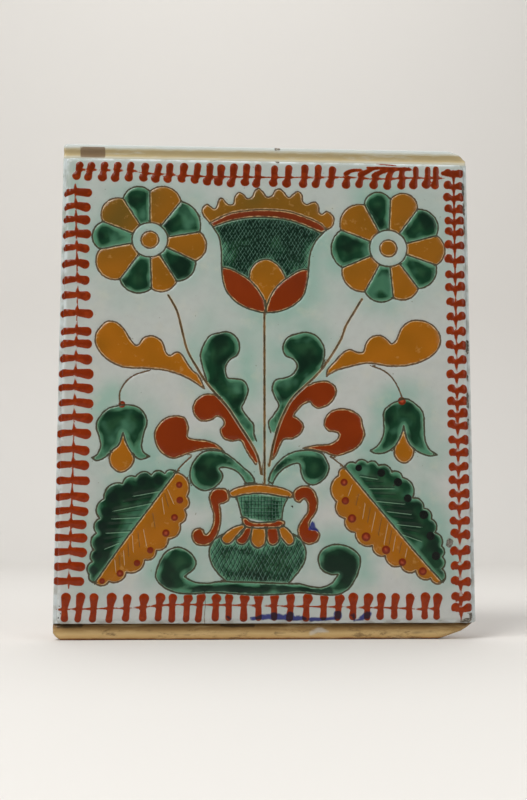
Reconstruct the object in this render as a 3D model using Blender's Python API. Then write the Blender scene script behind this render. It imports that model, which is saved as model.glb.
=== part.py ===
"""Stove tile: one fired-clay piece with a raised, glazed panel and a box rump behind.

The panel's face looks along -Y and +Z is up. The origin is at the middle of the
rump's lower wall, on its rear rim, where the tile is bedded in the stove. The
ornament's main lines are cut into the panel as shallow grooves. They are drawn
in millimetres on a sheet whose lower middle is the panel's lower middle, and the
drawing stretches with the panel.
"""

import math

import bmesh
import bpy
from mathutils import Matrix, Vector

# Raised panel that carries the drawing
PANEL_WIDTH = 0.200
PANEL_HEIGHT = 0.229
PANEL_RISE = 0.0033
PANEL_ROUND = 0.0028

# Base plate behind the panel, which shows as a flange above and below it
PLATE_THICKNESS = 0.0090
SIDE_STRIP = 0.0018
FLANGE_REACH = 0.0078
CHANNEL_DEPTH = 0.0017
RIM_ROUND = 0.0016

# Corners of the base plate that are broken or worn off, seen from the front
LOWER_RIGHT_CUT = (0.0185, 0.0086)
UPPER_RIGHT_CUT = (0.0090, 0.0046)
LOWER_LEFT_CUT = (0.0036, 0.0034)
UPPER_LEFT_CUT = (0.0014, 0.0014)

# Box rump behind the plate, open at the back
RUMP_DEPTH = 0.0330
RUMP_WALL = 0.0090
RUMP_INSET_SIDE = 0.0170
RUMP_INSET_END = 0.0190
RUMP_CORNER = 0.0120
LIP_DEPTH = 0.0070
LIP_REACH = 0.0025

# Grooves of the drawing
GROOVE_HALF_WIDTH = 0.0005
GROOVE_LIFT = 0.0001
LINE_TOLERANCE = 0.22
CURVE_STEPS = 10

# The sheet that the drawing's millimetres are read on. The drawing is laid on the
# panel a little askew: its upper left corner is set in, and its middle sits high.
SHEET_WIDTH = 200.0
SHEET_HEIGHT = 232.0
SHEET_LEAN = 2.0
SHEET_LIFT = 0.6

GLAZE_WHITE = (0.71, 0.75, 0.69, 1.0)
GLAZE_ROUGHNESS = 0.22

# Places that follow from the sizes above
PLATE_BACK_Y = -RUMP_DEPTH
RIM_Y = PLATE_BACK_Y - PLATE_THICKNESS
FACE_Y = RIM_Y - PANEL_RISE
PANEL_LOW = -RUMP_WALL / 2 - RUMP_INSET_END
PANEL_TOP = PANEL_LOW + PANEL_HEIGHT
PLATE_WIDTH = PANEL_WIDTH + 2 * SIDE_STRIP
RUMP_WIDTH = PANEL_WIDTH - 2 * RUMP_INSET_SIDE
RUMP_LOW = PANEL_LOW + RUMP_INSET_END
RUMP_TOP = PANEL_TOP - RUMP_INSET_END

# Flange section from the panel's edge outwards: (share of the reach, depth behind
# the rim in shares of the channel's depth), above and below the panel
UPPER_SECTION = (
    (-0.25, 0.9), (0.12, 0.75), (0.30, 1.0), (0.46, 0.8), (0.62, 0.25), (0.78, 0.0),
)
LOWER_SECTION = ((-0.25, 1.0), (0.05, 0.9), (0.16, 0.45), (0.40, 0.22), (0.78, 0.25))

# Rosettes: centre, core and ring radius, radius of the notches, and for each petal
# the angle of the line before it and the radius of its tip
LEFT_ROSETTE = dict(
    centre=(-59.3, 189.2), core=4.4, ring=8.9, notch=25.2,
    petals=((10, 27.4), (53, 28.8), (91, 28.5), (123, 29.2), (159, 28.7),
            (192, 29.8), (235, 28.2), (273, 27.6), (303, 27.4), (335, 28.4)),
)
RIGHT_ROSETTE = dict(
    centre=(60.5, 186.5), core=4.4, ring=9.5, notch=25.6,
    petals=((16, 29.1), (54, 30.4), (87, 30.0), (118, 29.3), (159, 29.0),
            (204, 28.4), (242, 28.3), (275, 27.9), (306, 27.9), (341, 28.8)),
)

# Tulip: a scalloped crown over a band, a cup and two bowl petals round a drop
CROWN_TOP = (
    (-29.4, 198.3), (-32.4, 201.6), (-33.5, 205.0), (-31.4, 207.9), (-29.2, 206.9),
    (-27.3, 205.7), (-26.0, 207.2), (-25.2, 210.4), (-23.4, 211.3), (-21.7, 209.2),
    (-19.9, 208.0), (-17.6, 208.7), (-17.2, 211.9), (-15.2, 214.6), (-12.9, 213.6),
    (-10.9, 211.4), (-8.4, 212.4), (-7.0, 215.5), (-5.0, 216.8), (-2.9, 214.9), (-0.9, 212.4),
    (1.6, 213.2), (3.2, 215.9), (5.4, 216.8), (7.6, 215.2), (9.9, 212.5), (12.0, 213.7),
    (14.4, 215.7), (16.7, 213.9), (17.2, 210.3), (19.2, 208.9), (21.6, 209.8), (23.9, 210.1),
    (25.2, 207.8), (25.6, 204.6), (27.2, 204.0), (29.4, 205.3), (32.2, 203.4), (33.1, 200.6),
    (31.9, 197.4), (29.0, 195.6),
)
CROWN_FOOT = (
    (-29.4, 198.3), (-20.1, 203.3), (-10.0, 205.2), (-0.4, 205.8), (10.0, 205.0),
    (19.8, 201.8), (26.5, 198.6), (29.0, 195.6),
)
BAND_FOOT = (
    (-27.8, 196.3), (-20.0, 199.4), (-10.0, 201.4), (-1.0, 201.7), (8.0, 200.9), (16.0, 198.6),
    (26.6, 194.2),
)
CUP = (
    (-29.4, 198.3), (-25.2, 191.8), (-23.8, 185.5), (-23.4, 177.5), (-22.8, 169.6),
    (-20.4, 162.6), (-15.0, 157.0), (-8.5, 154.0), (-1.5, 152.5), (6.5, 153.5), (13.0, 156.7),
    (17.6, 161.6), (19.6, 169.0), (20.3, 177.0), (21.2, 184.0), (24.0, 189.8), (29.0, 195.6),
)
LEFT_BOWL_PETAL = (
    (-23.3, 175.6), (-19.0, 174.8), (-14.6, 172.6), (-9.4, 169.2), (-4.8, 164.0),
    (-2.0, 158.8), (-1.2, 153.6),
)
RIGHT_BOWL_PETAL = (
    (20.2, 175.0), (16.4, 174.6), (12.0, 172.2), (6.8, 168.4), (3.0, 164.2), (0.4, 159.2),
    (-1.2, 153.6),
)
DROP = (
    (-9.6, 169.6), (-8.9, 174.2), (-6.0, 178.2), (-1.2, 180.0), (3.4, 178.2), (6.8, 174.4),
    (8.8, 170.2),
)

# Stems
MIDDLE_STEM = ((-1.9, 152.6), (-1.6, 110.0), (-1.3, 67.0))
LEFT_STEM = (
    (-49.6, 160.8), (-45.2, 152.8), (-42.4, 142.4), (-39.6, 132.6), (-34.6, 123.8),
    (-29.4, 115.8), (-24.4, 110.1), (-19.4, 104.4), (-13.6, 95.6), (-8.0, 87.0), (-4.6, 80.2),
    (-3.0, 72.0),
)
RIGHT_STEM = (
    (46.9, 160.0), (42.4, 152.4), (38.7, 146.0), (36.4, 139.6), (31.2, 130.6), (24.8, 121.8),
    (13.0, 110.3), (8.6, 103.2), (5.2, 95.0), (2.8, 86.4), (0.9, 76.0),
)
LEFT_BELL_STEM = (
    (-58.6, 122.6), (-64.8, 120.7), (-69.4, 117.2), (-72.3, 111.8), (-72.3, 107.2),
)
RIGHT_BELL_STEM = (
    (51.7, 126.0), (57.6, 123.6), (62.0, 119.8), (65.0, 114.4), (66.5, 110.4),
)
LEFT_LEAF_STALK = ((-44.3, 72.6), (-41.8, 75.8), (-38.4, 79.2), (-35.4, 81.4))
RIGHT_LEAF_STALK = ((38.0, 75.2), (33.4, 78.8), (29.6, 81.2), (26.6, 82.2))

# Lobed leaves beside the stems. A point written twice is a sharp corner.
LEFT_OCHRE_LEAF = (
    (-31.0, 113.8), (-31.0, 113.8), (-34.0, 120.2), (-37.4, 123.2), (-40.4, 127.6),
    (-42.9, 131.4), (-45.4, 132.0), (-48.4, 130.4), (-50.3, 132.0), (-52.4, 137.4),
    (-56.6, 140.0), (-61.0, 139.3), (-63.6, 136.0), (-65.2, 135.3), (-67.6, 137.9),
    (-71.6, 144.0), (-76.0, 147.1), (-80.4, 146.6), (-84.6, 141.0), (-84.4, 135.0),
    (-79.4, 128.6), (-71.0, 124.4), (-60.0, 123.8), (-50.0, 122.8), (-40.4, 119.6),
)
RIGHT_OCHRE_LEAF = (
    (29.0, 120.5), (29.0, 120.5), (29.6, 124.0), (33.4, 128.2), (37.0, 132.3), (40.6, 134.2),
    (44.4, 132.9), (47.4, 133.0), (48.8, 137.2), (51.6, 140.6), (56.0, 141.6), (59.2, 139.8),
    (61.6, 137.5), (64.0, 139.2), (66.6, 145.2), (70.6, 148.7), (75.0, 149.5), (80.4, 148.3),
    (84.8, 144.4), (86.3, 139.6), (84.4, 134.0), (78.6, 129.4), (70.6, 126.7), (61.0, 126.0),
    (50.0, 127.4), (40.0, 125.4), (33.6, 123.4),
)
LEFT_GREEN_LEAF = (
    (-30.2, 118.4), (-32.2, 124.6), (-33.3, 130.6), (-31.6, 136.3), (-28.6, 140.6),
    (-24.4, 141.9), (-20.4, 142.6), (-16.2, 140.5), (-14.1, 136.0), (-15.0, 131.1),
    (-18.8, 128.3), (-20.9, 124.4), (-19.8, 119.6), (-15.8, 119.0), (-11.8, 117.9),
    (-9.6, 113.6), (-11.2, 107.9), (-12.6, 104.4), (-9.6, 99.6), (-6.8, 96.0), (-6.6, 91.6),
    (-5.4, 88.4),
)
RIGHT_GREEN_LEAF = (
    (1.6, 92.6), (0.5, 97.4), (3.2, 101.4), (5.4, 105.8), (3.6, 109.9), (2.2, 114.2),
    (3.8, 118.4), (8.8, 119.7), (12.6, 121.8), (14.5, 125.8), (12.4, 129.1), (8.6, 131.0),
    (7.3, 135.2), (9.4, 139.7), (13.8, 141.8), (19.4, 142.7), (24.6, 140.5), (27.9, 135.0),
    (27.7, 129.4), (24.6, 121.9),
)
LEFT_RED_LEAF = (
    (-22.8, 108.9), (-27.0, 111.1), (-32.0, 110.7), (-35.8, 107.2), (-36.4, 102.2),
    (-33.2, 98.2), (-28.0, 98.2), (-24.8, 100.3), (-21.8, 98.6), (-21.4, 96.2), (-23.2, 93.4),
    (-21.4, 89.3), (-17.0, 88.0), (-13.0, 88.2), (-9.8, 82.4), (-5.9, 76.8),
)
RIGHT_RED_LEAF = (
    (20.0, 116.0), (24.0, 117.6), (29.2, 118.1), (33.4, 115.2), (33.4, 110.8), (30.0, 106.3),
    (25.0, 104.6), (22.0, 106.1), (20.8, 107.8), (16.6, 105.6), (12.9, 100.9), (14.6, 99.7),
    (17.6, 96.2), (16.4, 92.2), (12.4, 89.4), (8.2, 89.0), (6.2, 86.0), (4.4, 81.6),
    (2.4, 79.0),
)
LEFT_RED_COMMA = (
    (-20.6, 82.1), (-20.6, 82.1), (-24.6, 86.2), (-30.0, 88.2), (-36.4, 88.9), (-39.0, 90.4),
    (-38.8, 95.2), (-40.6, 99.2), (-45.0, 100.3), (-50.2, 98.9), (-54.2, 94.4), (-55.0, 89.8),
    (-53.2, 84.2), (-49.2, 80.5), (-45.0, 79.5), (-39.4, 81.5), (-33.4, 83.4), (-26.0, 84.2),
)
RIGHT_RED_COMMA = (
    (17.4, 84.7), (17.4, 84.7), (23.4, 86.1), (30.2, 86.8), (34.2, 89.0), (35.2, 91.6),
    (33.2, 92.8), (29.6, 93.6), (27.8, 97.0), (30.0, 102.0), (35.4, 104.4), (41.0, 103.6),
    (45.6, 100.6), (47.0, 95.4), (47.7, 91.2), (44.8, 85.8), (39.4, 82.6), (33.4, 81.0),
    (28.0, 82.8), (22.0, 83.9),
)
LEFT_GREEN_COMMA = (
    (-6.0, 67.6), (-6.0, 67.6), (-7.4, 71.2), (-11.4, 74.8), (-16.6, 79.4), (-21.4, 82.5),
    (-26.4, 83.4), (-31.6, 82.4), (-35.8, 78.0), (-37.6, 72.4), (-36.4, 67.2), (-31.6, 63.9),
    (-26.6, 64.7), (-22.6, 68.2), (-21.8, 71.8), (-23.4, 74.6), (-19.6, 75.0), (-15.0, 73.2),
    (-12.2, 70.4), (-10.6, 67.2), (-10.6, 67.2),
)
RIGHT_GREEN_COMMA = (
    (0.5, 68.4), (0.5, 68.4), (1.8, 72.6), (5.0, 77.4), (9.4, 81.2), (14.6, 83.3),
    (21.0, 83.7), (26.6, 82.2), (29.4, 78.0), (30.2, 74.6), (28.0, 69.8), (23.0, 66.7),
    (18.6, 68.2), (16.6, 72.2), (15.9, 76.6), (13.6, 77.2), (9.0, 75.2), (4.9, 71.6),
    (2.6, 67.2), (2.6, 67.2),
)

# Bell flowers with a clapper
LEFT_BELL = (
    (-57.0, 80.2), (-57.0, 80.2), (-60.4, 82.6), (-61.2, 86.6), (-60.0, 92.4), (-58.8, 97.2),
    (-60.6, 102.0), (-64.4, 104.9), (-69.0, 105.6), (-73.2, 105.1), (-78.2, 103.5),
    (-81.9, 99.5), (-83.4, 95.2), (-81.9, 89.8), (-81.0, 85.4), (-82.6, 81.2), (-85.2, 79.5),
    (-85.2, 79.5), (-82.6, 78.1), (-78.8, 79.7), (-74.8, 83.7), (-72.2, 86.0), (-70.4, 91.8),
    (-70.4, 91.8), (-68.8, 87.0), (-65.4, 81.4), (-61.6, 78.8),
)
RIGHT_BELL = (
    (50.4, 83.6), (50.4, 83.6), (54.6, 86.7), (57.1, 92.0), (57.3, 98.0), (57.4, 103.0),
    (60.2, 106.2), (63.8, 108.2), (69.0, 109.5), (74.0, 106.4), (77.0, 102.4), (77.4, 96.0),
    (77.7, 89.8), (79.6, 84.8), (83.6, 81.7), (83.6, 81.7), (79.2, 81.3), (73.2, 83.8),
    (69.0, 88.7), (67.2, 96.0), (67.2, 96.0), (65.8, 91.2), (62.8, 86.0), (58.4, 82.9),
    (53.6, 82.2),
)
LEFT_CLAPPER = (
    (-75.8, 82.8), (-76.7, 79.2), (-75.4, 75.2), (-71.4, 72.5), (-67.4, 74.0), (-64.8, 78.0),
    (-65.3, 81.4),
)
RIGHT_CLAPPER = (
    (62.6, 85.8), (62.5, 81.6), (64.8, 78.4), (68.2, 77.8), (71.2, 80.2), (72.3, 84.4),
)

# Two-coloured leaves at the foot: a midrib, and on each side the notches between the
# teeth, from the stalk to the tip
LEFT_MIDRIB = ((-44.3, 72.6), (-54.6, 58.4), (-67.5, 40.7), (-82.0, 19.6))
LEFT_GREEN_SIDE = (
    (-44.3, 72.6), (-49.8, 72.0), (-56.2, 71.3), (-63.8, 70.3), (-70.0, 67.1), (-78.8, 59.6),
    (-80.6, 50.2), (-81.9, 43.1), (-82.8, 35.1), (-83.5, 29.5), (-84.8, 23.4), (-82.0, 19.6),
)
LEFT_OCHRE_SIDE = (
    (-44.3, 72.6), (-38.9, 60.8), (-39.9, 54.4), (-42.0, 47.6), (-47.6, 40.4), (-53.1, 35.0),
    (-58.6, 30.3), (-67.3, 24.6), (-75.3, 20.2), (-82.0, 19.6),
)
RIGHT_MIDRIB = ((38.0, 75.2), (50.0, 60.8), (60.0, 48.8), (72.0, 34.4), (85.2, 19.6))
RIGHT_GREEN_SIDE = (
    (38.0, 75.2), (43.1, 77.5), (49.2, 77.8), (54.6, 76.2), (61.0, 73.2), (66.4, 70.4),
    (71.0, 60.4), (76.6, 55.4), (80.3, 50.2), (81.9, 43.6), (84.9, 37.0), (85.3, 31.8),
    (85.0, 26.0), (85.2, 19.6),
)
RIGHT_OCHRE_SIDE = (
    (38.0, 75.2), (34.9, 71.4), (33.9, 58.5), (38.0, 50.4), (42.9, 43.6), (51.2, 37.2),
    (57.4, 32.3), (65.0, 27.5), (72.2, 25.1), (79.4, 21.4), (85.2, 19.6),
)
TOOTH_BULGE = 0.27

# Vase: rim, neck, collar, shoulder petals, belly, handles and a scrolled foot
VASE_RIM = (
    (-18.6, 62.2), (-17.2, 64.0), (-13.0, 65.7), (-5.0, 66.9), (4.0, 65.9), (9.5, 64.3),
    (12.3, 62.4), (11.4, 60.5), (8.0, 60.8), (0.0, 62.2), (-6.0, 62.4), (-12.0, 61.7),
    (-16.6, 60.6),
)
NECK_SIDES = (
    ((-14.9, 60.9), (-13.4, 55.6), (-12.2, 50.8)),
    ((10.2, 60.6), (8.0, 55.6), (7.0, 49.4)),
)
VASE_COLLAR = (
    (-12.2, 50.8), (-12.2, 50.8), (-9.8, 50.4), (-7.6, 48.7), (-2.0, 48.3), (3.2, 48.7),
    (5.4, 49.6), (8.4, 48.9), (7.6, 46.6), (3.0, 45.8), (-4.0, 45.6), (-9.4, 46.1),
    (-11.6, 48.0),
)
SHOULDER_PETALS = (
    ((-11.6, 47.4), (-15.6, 46.3), (-19.4, 44.0), (-22.0, 40.8), (-20.2, 38.1), (-17.2, 38.7),
     (-14.4, 42.0), (-10.6, 46.2)),
    ((-10.2, 46.2), (-12.6, 42.4), (-14.9, 40.0), (-13.6, 38.1), (-11.2, 37.9), (-9.4, 39.6),
     (-7.8, 43.0), (-7.2, 46.0)),
    ((-7.2, 45.9), (-7.8, 41.6), (-7.4, 38.2), (-4.3, 36.0), (-1.2, 38.0), (-0.5, 42.0),
     (-0.9, 45.9)),
    ((-0.1, 45.9), (0.0, 41.6), (0.6, 38.6), (2.8, 37.3), (5.2, 38.6), (5.9, 41.4), (5.0, 45.8)),
    ((7.4, 46.8), (10.4, 45.0), (12.8, 41.6), (13.0, 38.8), (10.6, 37.4), (8.2, 39.4),
     (6.2, 42.4), (5.4, 45.8)),
)
BELLY_SIDES = (
    ((-21.6, 42.6), (-25.8, 39.4), (-27.7, 35.0), (-27.0, 29.6), (-24.2, 24.8), (-19.4, 19.9)),
    ((12.6, 43.0), (16.6, 39.8), (18.9, 35.0), (18.2, 29.6), (15.4, 24.8), (10.8, 19.2)),
)
LEFT_HANDLE = (
    (-18.5, 61.2), (-19.8, 64.1), (-22.8, 64.8), (-26.3, 63.9), (-28.1, 60.6), (-27.1, 56.2),
    (-25.8, 51.6), (-26.4, 46.6), (-28.8, 42.7), (-30.2, 43.0), (-30.9, 44.7), (-33.0, 45.6),
    (-35.6, 44.2), (-36.2, 41.2), (-34.2, 38.0), (-30.0, 37.2), (-26.6, 38.6), (-23.8, 43.0),
    (-22.4, 49.0), (-22.6, 54.4), (-23.0, 57.0), (-20.6, 57.9), (-18.7, 59.2),
)
RIGHT_HANDLE = (
    (12.8, 62.0), (13.6, 64.2), (17.2, 66.1), (20.8, 65.5), (23.4, 62.8), (24.6, 58.4),
    (23.9, 53.8), (21.4, 49.8), (20.4, 47.2), (21.4, 45.3), (24.0, 44.8), (25.5, 42.4),
    (24.2, 39.2), (21.0, 37.9), (17.6, 38.8), (15.4, 42.2), (15.1, 45.8), (17.0, 49.6),
    (19.6, 53.4), (19.8, 57.2), (18.6, 59.8), (17.2, 59.4), (15.7, 58.1), (13.6, 59.2),
)
VASE_FOOT = (
    (10.8, 19.0), (16.0, 18.9), (21.0, 17.6), (26.2, 17.2), (31.0, 19.0), (34.5, 23.4),
    (34.5, 23.4), (30.6, 23.5), (26.6, 25.6), (24.8, 30.2), (26.2, 34.6), (30.2, 37.2),
    (35.6, 37.7), (41.2, 35.8), (44.9, 32.2), (45.1, 27.6), (42.9, 21.4), (39.2, 16.2),
    (34.0, 13.8), (26.6, 13.7), (16.0, 14.7), (6.0, 13.9), (-6.0, 13.6), (-16.0, 14.3),
    (-27.0, 14.8), (-36.0, 14.2), (-43.6, 14.9), (-49.6, 17.7), (-53.2, 22.2), (-51.8, 28.6),
    (-48.6, 34.0), (-43.0, 36.4), (-37.6, 34.4), (-34.2, 30.0), (-35.0, 26.1), (-39.6, 22.4),
    (-39.6, 22.4), (-34.4, 19.8), (-28.0, 19.3), (-19.6, 20.0),
)


def smooth(points, closed=False, steps=CURVE_STEPS):
    """Catmull-Rom curve through the points. A point written twice is a corner."""
    knots = list(points)
    if closed:
        knots = knots + knots[:1]
    curve = []
    for index in range(len(knots) - 1):
        start, end = knots[index], knots[index + 1]
        if start == end:
            continue
        before = knots[index - 1] if index else (knots[-2] if closed else start)
        after_index = index + 2
        if after_index < len(knots):
            after = knots[after_index]
        else:
            after = knots[1] if closed else end
        for step in range(steps):
            t = step / steps
            curve.append(tuple(
                0.5 * (2 * b + (c - a) * t + (2 * a - 5 * b + 4 * c - d) * t ** 2
                       + (3 * b - a - 3 * c + d) * t ** 3)
                for a, b, c, d in zip(before, start, end, after)
            ))
    if not closed:
        curve.append(knots[-1])
    return curve


def arc(start, middle, end, steps=CURVE_STEPS):
    """Circular arc through three points, without its end point."""
    a, b, c = (complex(*p) for p in (start, middle, end))
    w = (c - a) / (b - a)
    if abs(w.imag) < 1e-9:
        return [start]
    centre = (b - a) * (w - abs(w) ** 2) / (2j * w.imag) + a
    first = a - centre
    turn = math.remainder(
        math.atan2(((c - centre) / first).imag, ((c - centre) / first).real), math.tau
    )
    half = math.atan2(((b - centre) / first).imag, ((b - centre) / first).real)
    if turn * half < 0:
        turn -= math.copysign(math.tau, turn)
    points = []
    for step in range(steps):
        angle = turn * step / steps
        point = centre + first * complex(math.cos(angle), math.sin(angle))
        points.append((point.real, point.imag))
    return points


def scallops(points):
    """Run of arcs: the points are valley, crest, valley, crest and so on."""
    run = []
    for index in range(0, len(points) - 2, 2):
        run += arc(*points[index:index + 3])
    return run + [points[-1]]


def circle(centre, radius, steps=24):
    """Points round a circle."""
    return [
        (centre[0] + radius * math.cos(math.tau * step / steps),
         centre[1] + radius * math.sin(math.tau * step / steps))
        for step in range(steps)
    ]


def toothed(notches, outwards):
    """Side of a leaf: between each two notches a round tooth that bulges outwards."""
    points = [notches[0]]
    for start, end in zip(notches, notches[1:]):
        along = Vector(end) - Vector(start)
        crest = (Vector(start) + Vector(end)) / 2
        crest += Vector((along.y, -along.x)) * TOOTH_BULGE * outwards
        points += [tuple(crest), end]
    return scallops(points)


def polar(centre, radius, angle):
    """Point at a radius and an angle in degrees round a centre."""
    turn = math.radians(angle)
    return centre[0] + radius * math.cos(turn), centre[1] + radius * math.sin(turn)


def rosette_lines(centre, core, ring, notch, petals):
    """Core, ring, the lines between the petals and the petals' scalloped outline."""
    lines = [(circle(centre, core), True), (circle(centre, ring), True)]
    outline = []
    for (angle, tip), (following, _) in zip(petals, petals[1:] + petals[:1]):
        foot = polar(centre, notch, angle)
        crest = polar(centre, tip, angle + (following - angle) % 360 / 2)
        lines.append(([polar(centre, ring, angle), foot], False))
        outline += arc(foot, crest, polar(centre, notch, following))
    lines.append((outline, True))
    return lines


def leaf_lines(midrib, green_side, ochre_side, green_outwards):
    """Midrib and both toothed sides of a two-coloured leaf."""
    return [
        (smooth(midrib), False),
        (toothed(green_side, green_outwards), False),
        (toothed(ochre_side, -green_outwards), False),
    ]


def drawing():
    """Every line that is cut into the panel: (points in sheet millimetres, closed)."""
    lines = rosette_lines(**LEFT_ROSETTE) + rosette_lines(**RIGHT_ROSETTE)
    lines += [(smooth(run), False) for run in (
        CROWN_TOP, CROWN_FOOT, BAND_FOOT, CUP, LEFT_BOWL_PETAL, RIGHT_BOWL_PETAL, DROP,
        MIDDLE_STEM, LEFT_STEM, RIGHT_STEM, LEFT_BELL_STEM, RIGHT_BELL_STEM,
        LEFT_LEAF_STALK, RIGHT_LEAF_STALK,
        LEFT_GREEN_LEAF, RIGHT_GREEN_LEAF, LEFT_RED_LEAF, RIGHT_RED_LEAF,
        LEFT_CLAPPER, RIGHT_CLAPPER, *NECK_SIDES, *SHOULDER_PETALS, *BELLY_SIDES,
    )]
    lines += [(smooth(outline, closed=True), True) for outline in (
        LEFT_OCHRE_LEAF, RIGHT_OCHRE_LEAF, LEFT_RED_COMMA, RIGHT_RED_COMMA,
        LEFT_GREEN_COMMA, RIGHT_GREEN_COMMA, LEFT_BELL, RIGHT_BELL,
        VASE_RIM, VASE_COLLAR, LEFT_HANDLE, RIGHT_HANDLE, VASE_FOOT,
    )]
    lines += leaf_lines(LEFT_MIDRIB, LEFT_GREEN_SIDE, LEFT_OCHRE_SIDE, 1)
    lines += leaf_lines(RIGHT_MIDRIB, RIGHT_GREEN_SIDE, RIGHT_OCHRE_SIDE, -1)
    return lines


def simplified(points, tolerance=LINE_TOLERANCE):
    """The few points that keep the line within the tolerance."""
    if len(points) < 3:
        return points
    start, end = Vector(points[0]), Vector(points[-1])
    along = end - start
    span = along.length
    offsets = []
    for point in points[1:-1]:
        across = Vector(point) - start
        if span > 1e-6:
            offsets.append(abs(along.x * across.y - along.y * across.x) / span)
        else:
            offsets.append(across.length)
    farthest = max(range(len(offsets)), key=offsets.__getitem__)
    if offsets[farthest] < tolerance:
        return [points[0], points[-1]]
    split = farthest + 1
    return simplified(points[:split + 1], tolerance)[:-1] + simplified(points[split:], tolerance)


def on_face(point):
    """Place of a drawing point on the panel, at the grooves' centre."""
    across, up = point[0] / SHEET_WIDTH, point[1] / SHEET_HEIGHT
    across += SHEET_LEAN / SHEET_WIDTH * (0.5 - across) * up
    up += SHEET_LIFT / SHEET_HEIGHT * 4 * up * (1 - up)
    return Vector((
        across * PANEL_WIDTH, FACE_Y - GROOVE_LIFT, PANEL_LOW + up * PANEL_HEIGHT,
    ))


def clear_scene():
    """Remove the objects of the scene that the script starts in."""
    for obj in list(bpy.data.objects):
        bpy.data.objects.remove(obj, do_unlink=True)


def new_collection(name):
    """A collection linked to the scene."""
    collection = bpy.data.collections.new(name)
    bpy.context.scene.collection.children.link(collection)
    return collection


def link_mesh(name, mesh, collection, helper=True):
    """Object of a mesh in a collection. A helper is left out of the render."""
    obj = bpy.data.objects.new(name, mesh)
    collection.objects.link(obj)
    if helper:
        obj.hide_render = True
        obj.display_type = "WIRE"
    return obj


def curve_to_mesh(name, curve, collection, matrix=Matrix()):
    """Closed mesh of a curve, its caps welded to its sides and its faces outwards."""
    source = bpy.data.objects.new(name + "_curve", curve)
    collection.objects.link(source)
    source.matrix_world = matrix
    bpy.context.view_layer.update()
    graph = bpy.context.evaluated_depsgraph_get()
    mesh = bpy.data.meshes.new_from_object(source.evaluated_get(graph))
    shape = bmesh.new()
    shape.from_mesh(mesh)
    bmesh.ops.remove_doubles(shape, verts=shape.verts, dist=1e-7)
    bmesh.ops.recalc_face_normals(shape, faces=shape.faces)
    shape.to_mesh(mesh)
    shape.free()
    obj = link_mesh(name, mesh, collection)
    obj.matrix_world = matrix
    bpy.data.objects.remove(source, do_unlink=True)
    return obj


def poly_curve(name, points, closed):
    """Curve data of straight stretches through the points."""
    curve = bpy.data.curves.new(name, "CURVE")
    curve.dimensions = "3D"
    spline = curve.splines.new("POLY")
    spline.points.add(len(points) - 1)
    for knot, point in zip(spline.points, points):
        knot.co = (*point, 1.0)
    spline.use_cyclic_u = closed
    return curve


def groove_cutter(name, points, closed, collection):
    """Four-sided rod along a line of the drawing, half sunk into the panel."""
    if closed:
        few = simplified(points + points[:1])[:-1]
    else:
        few = simplified(points)
    curve = poly_curve(name, [on_face(point) for point in few], closed)
    curve.bevel_depth = GROOVE_HALF_WIDTH
    curve.bevel_resolution = 0
    curve.use_fill_caps = not closed
    return curve_to_mesh(name, curve, collection)


def prism(name, outline, half_width, matrix, collection):
    """Solid of a flat outline, drawn out to both sides of the matrix's own plane."""
    curve = poly_curve(name, [Vector((*point, 0)) for point in outline], True)
    curve.dimensions = "2D"
    curve.fill_mode = "BOTH"
    curve.extrude = half_width
    return curve_to_mesh(name, curve, collection, matrix)


def block(name, low, high, collection, rounds=(), helper=True):
    """Box between two corners. Each round is (edge test, radius, segments)."""
    shape = bmesh.new()
    bmesh.ops.create_cube(shape, size=1.0)
    low, high = Vector(low), Vector(high)
    size = high - low
    bmesh.ops.scale(shape, vec=size, verts=shape.verts)
    bmesh.ops.translate(shape, vec=(low + high) / 2, verts=shape.verts)
    for chosen, radius, segments in rounds:
        bmesh.ops.bevel(
            shape, geom=[edge for edge in shape.edges if chosen(edge)], offset=radius,
            offset_type="OFFSET", affect="EDGES", segments=segments, profile=0.5, material=-1,
        )
    mesh = bpy.data.meshes.new(name)
    shape.to_mesh(mesh)
    shape.free()
    return link_mesh(name, mesh, collection, helper)


def along_depth(edge):
    """Whether an edge runs along Y."""
    start, end = (vert.co for vert in edge.verts)
    return abs(end.y - start.y) > 0.9 * (end - start).length


def on_front(edge):
    """Whether an edge borders the panel's face."""
    return all(abs(vert.co.y - FACE_Y) < 1e-6 for vert in edge.verts)


def plate_outline():
    """(y, z) outline of the base plate with its flange sections, from the lower back."""
    low, top = PANEL_LOW, PANEL_TOP
    lower = [
        (RIM_Y + depth * CHANNEL_DEPTH, low - share * FLANGE_REACH)
        for share, depth in LOWER_SECTION
    ]
    upper = [
        (RIM_Y + depth * CHANNEL_DEPTH, top + share * FLANGE_REACH)
        for share, depth in UPPER_SECTION
    ]
    outline = [(PLATE_BACK_Y, low - FLANGE_REACH), (RIM_Y + RIM_ROUND, low - FLANGE_REACH)]
    outline += reversed(smooth(lower, steps=3))
    outline += smooth(upper, steps=3)
    outline += [(RIM_Y + RIM_ROUND, top + FLANGE_REACH), (PLATE_BACK_Y, top + FLANGE_REACH)]
    return outline


def corner_cutter(name, side, end, cut, collection):
    """Wedge that takes a corner off the base plate. side and end are -1 or 1."""
    across, up = cut
    x = side * PLATE_WIDTH / 2
    z = PANEL_TOP + FLANGE_REACH if end > 0 else PANEL_LOW - FLANGE_REACH
    past = 0.5 * (across + up)
    outline = [
        (x - side * across, z), (x - side * 0.38 * across, z - end * 0.45 * up),
        (x, z - end * up), (x + side * past, z - end * up),
        (x + side * past, z + end * past), (x - side * across, z + end * past),
    ]
    # The outline's own axes lie along X and Z, and the wedge runs through the plate.
    middle = (RIM_Y + PLATE_BACK_Y) / 2
    matrix = Matrix(((1, 0, 0, 0), (0, 0, -1, middle), (0, 1, 0, 0), (0, 0, 0, 1)))
    return prism(name, outline, PLATE_THICKNESS, matrix, collection)


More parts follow.
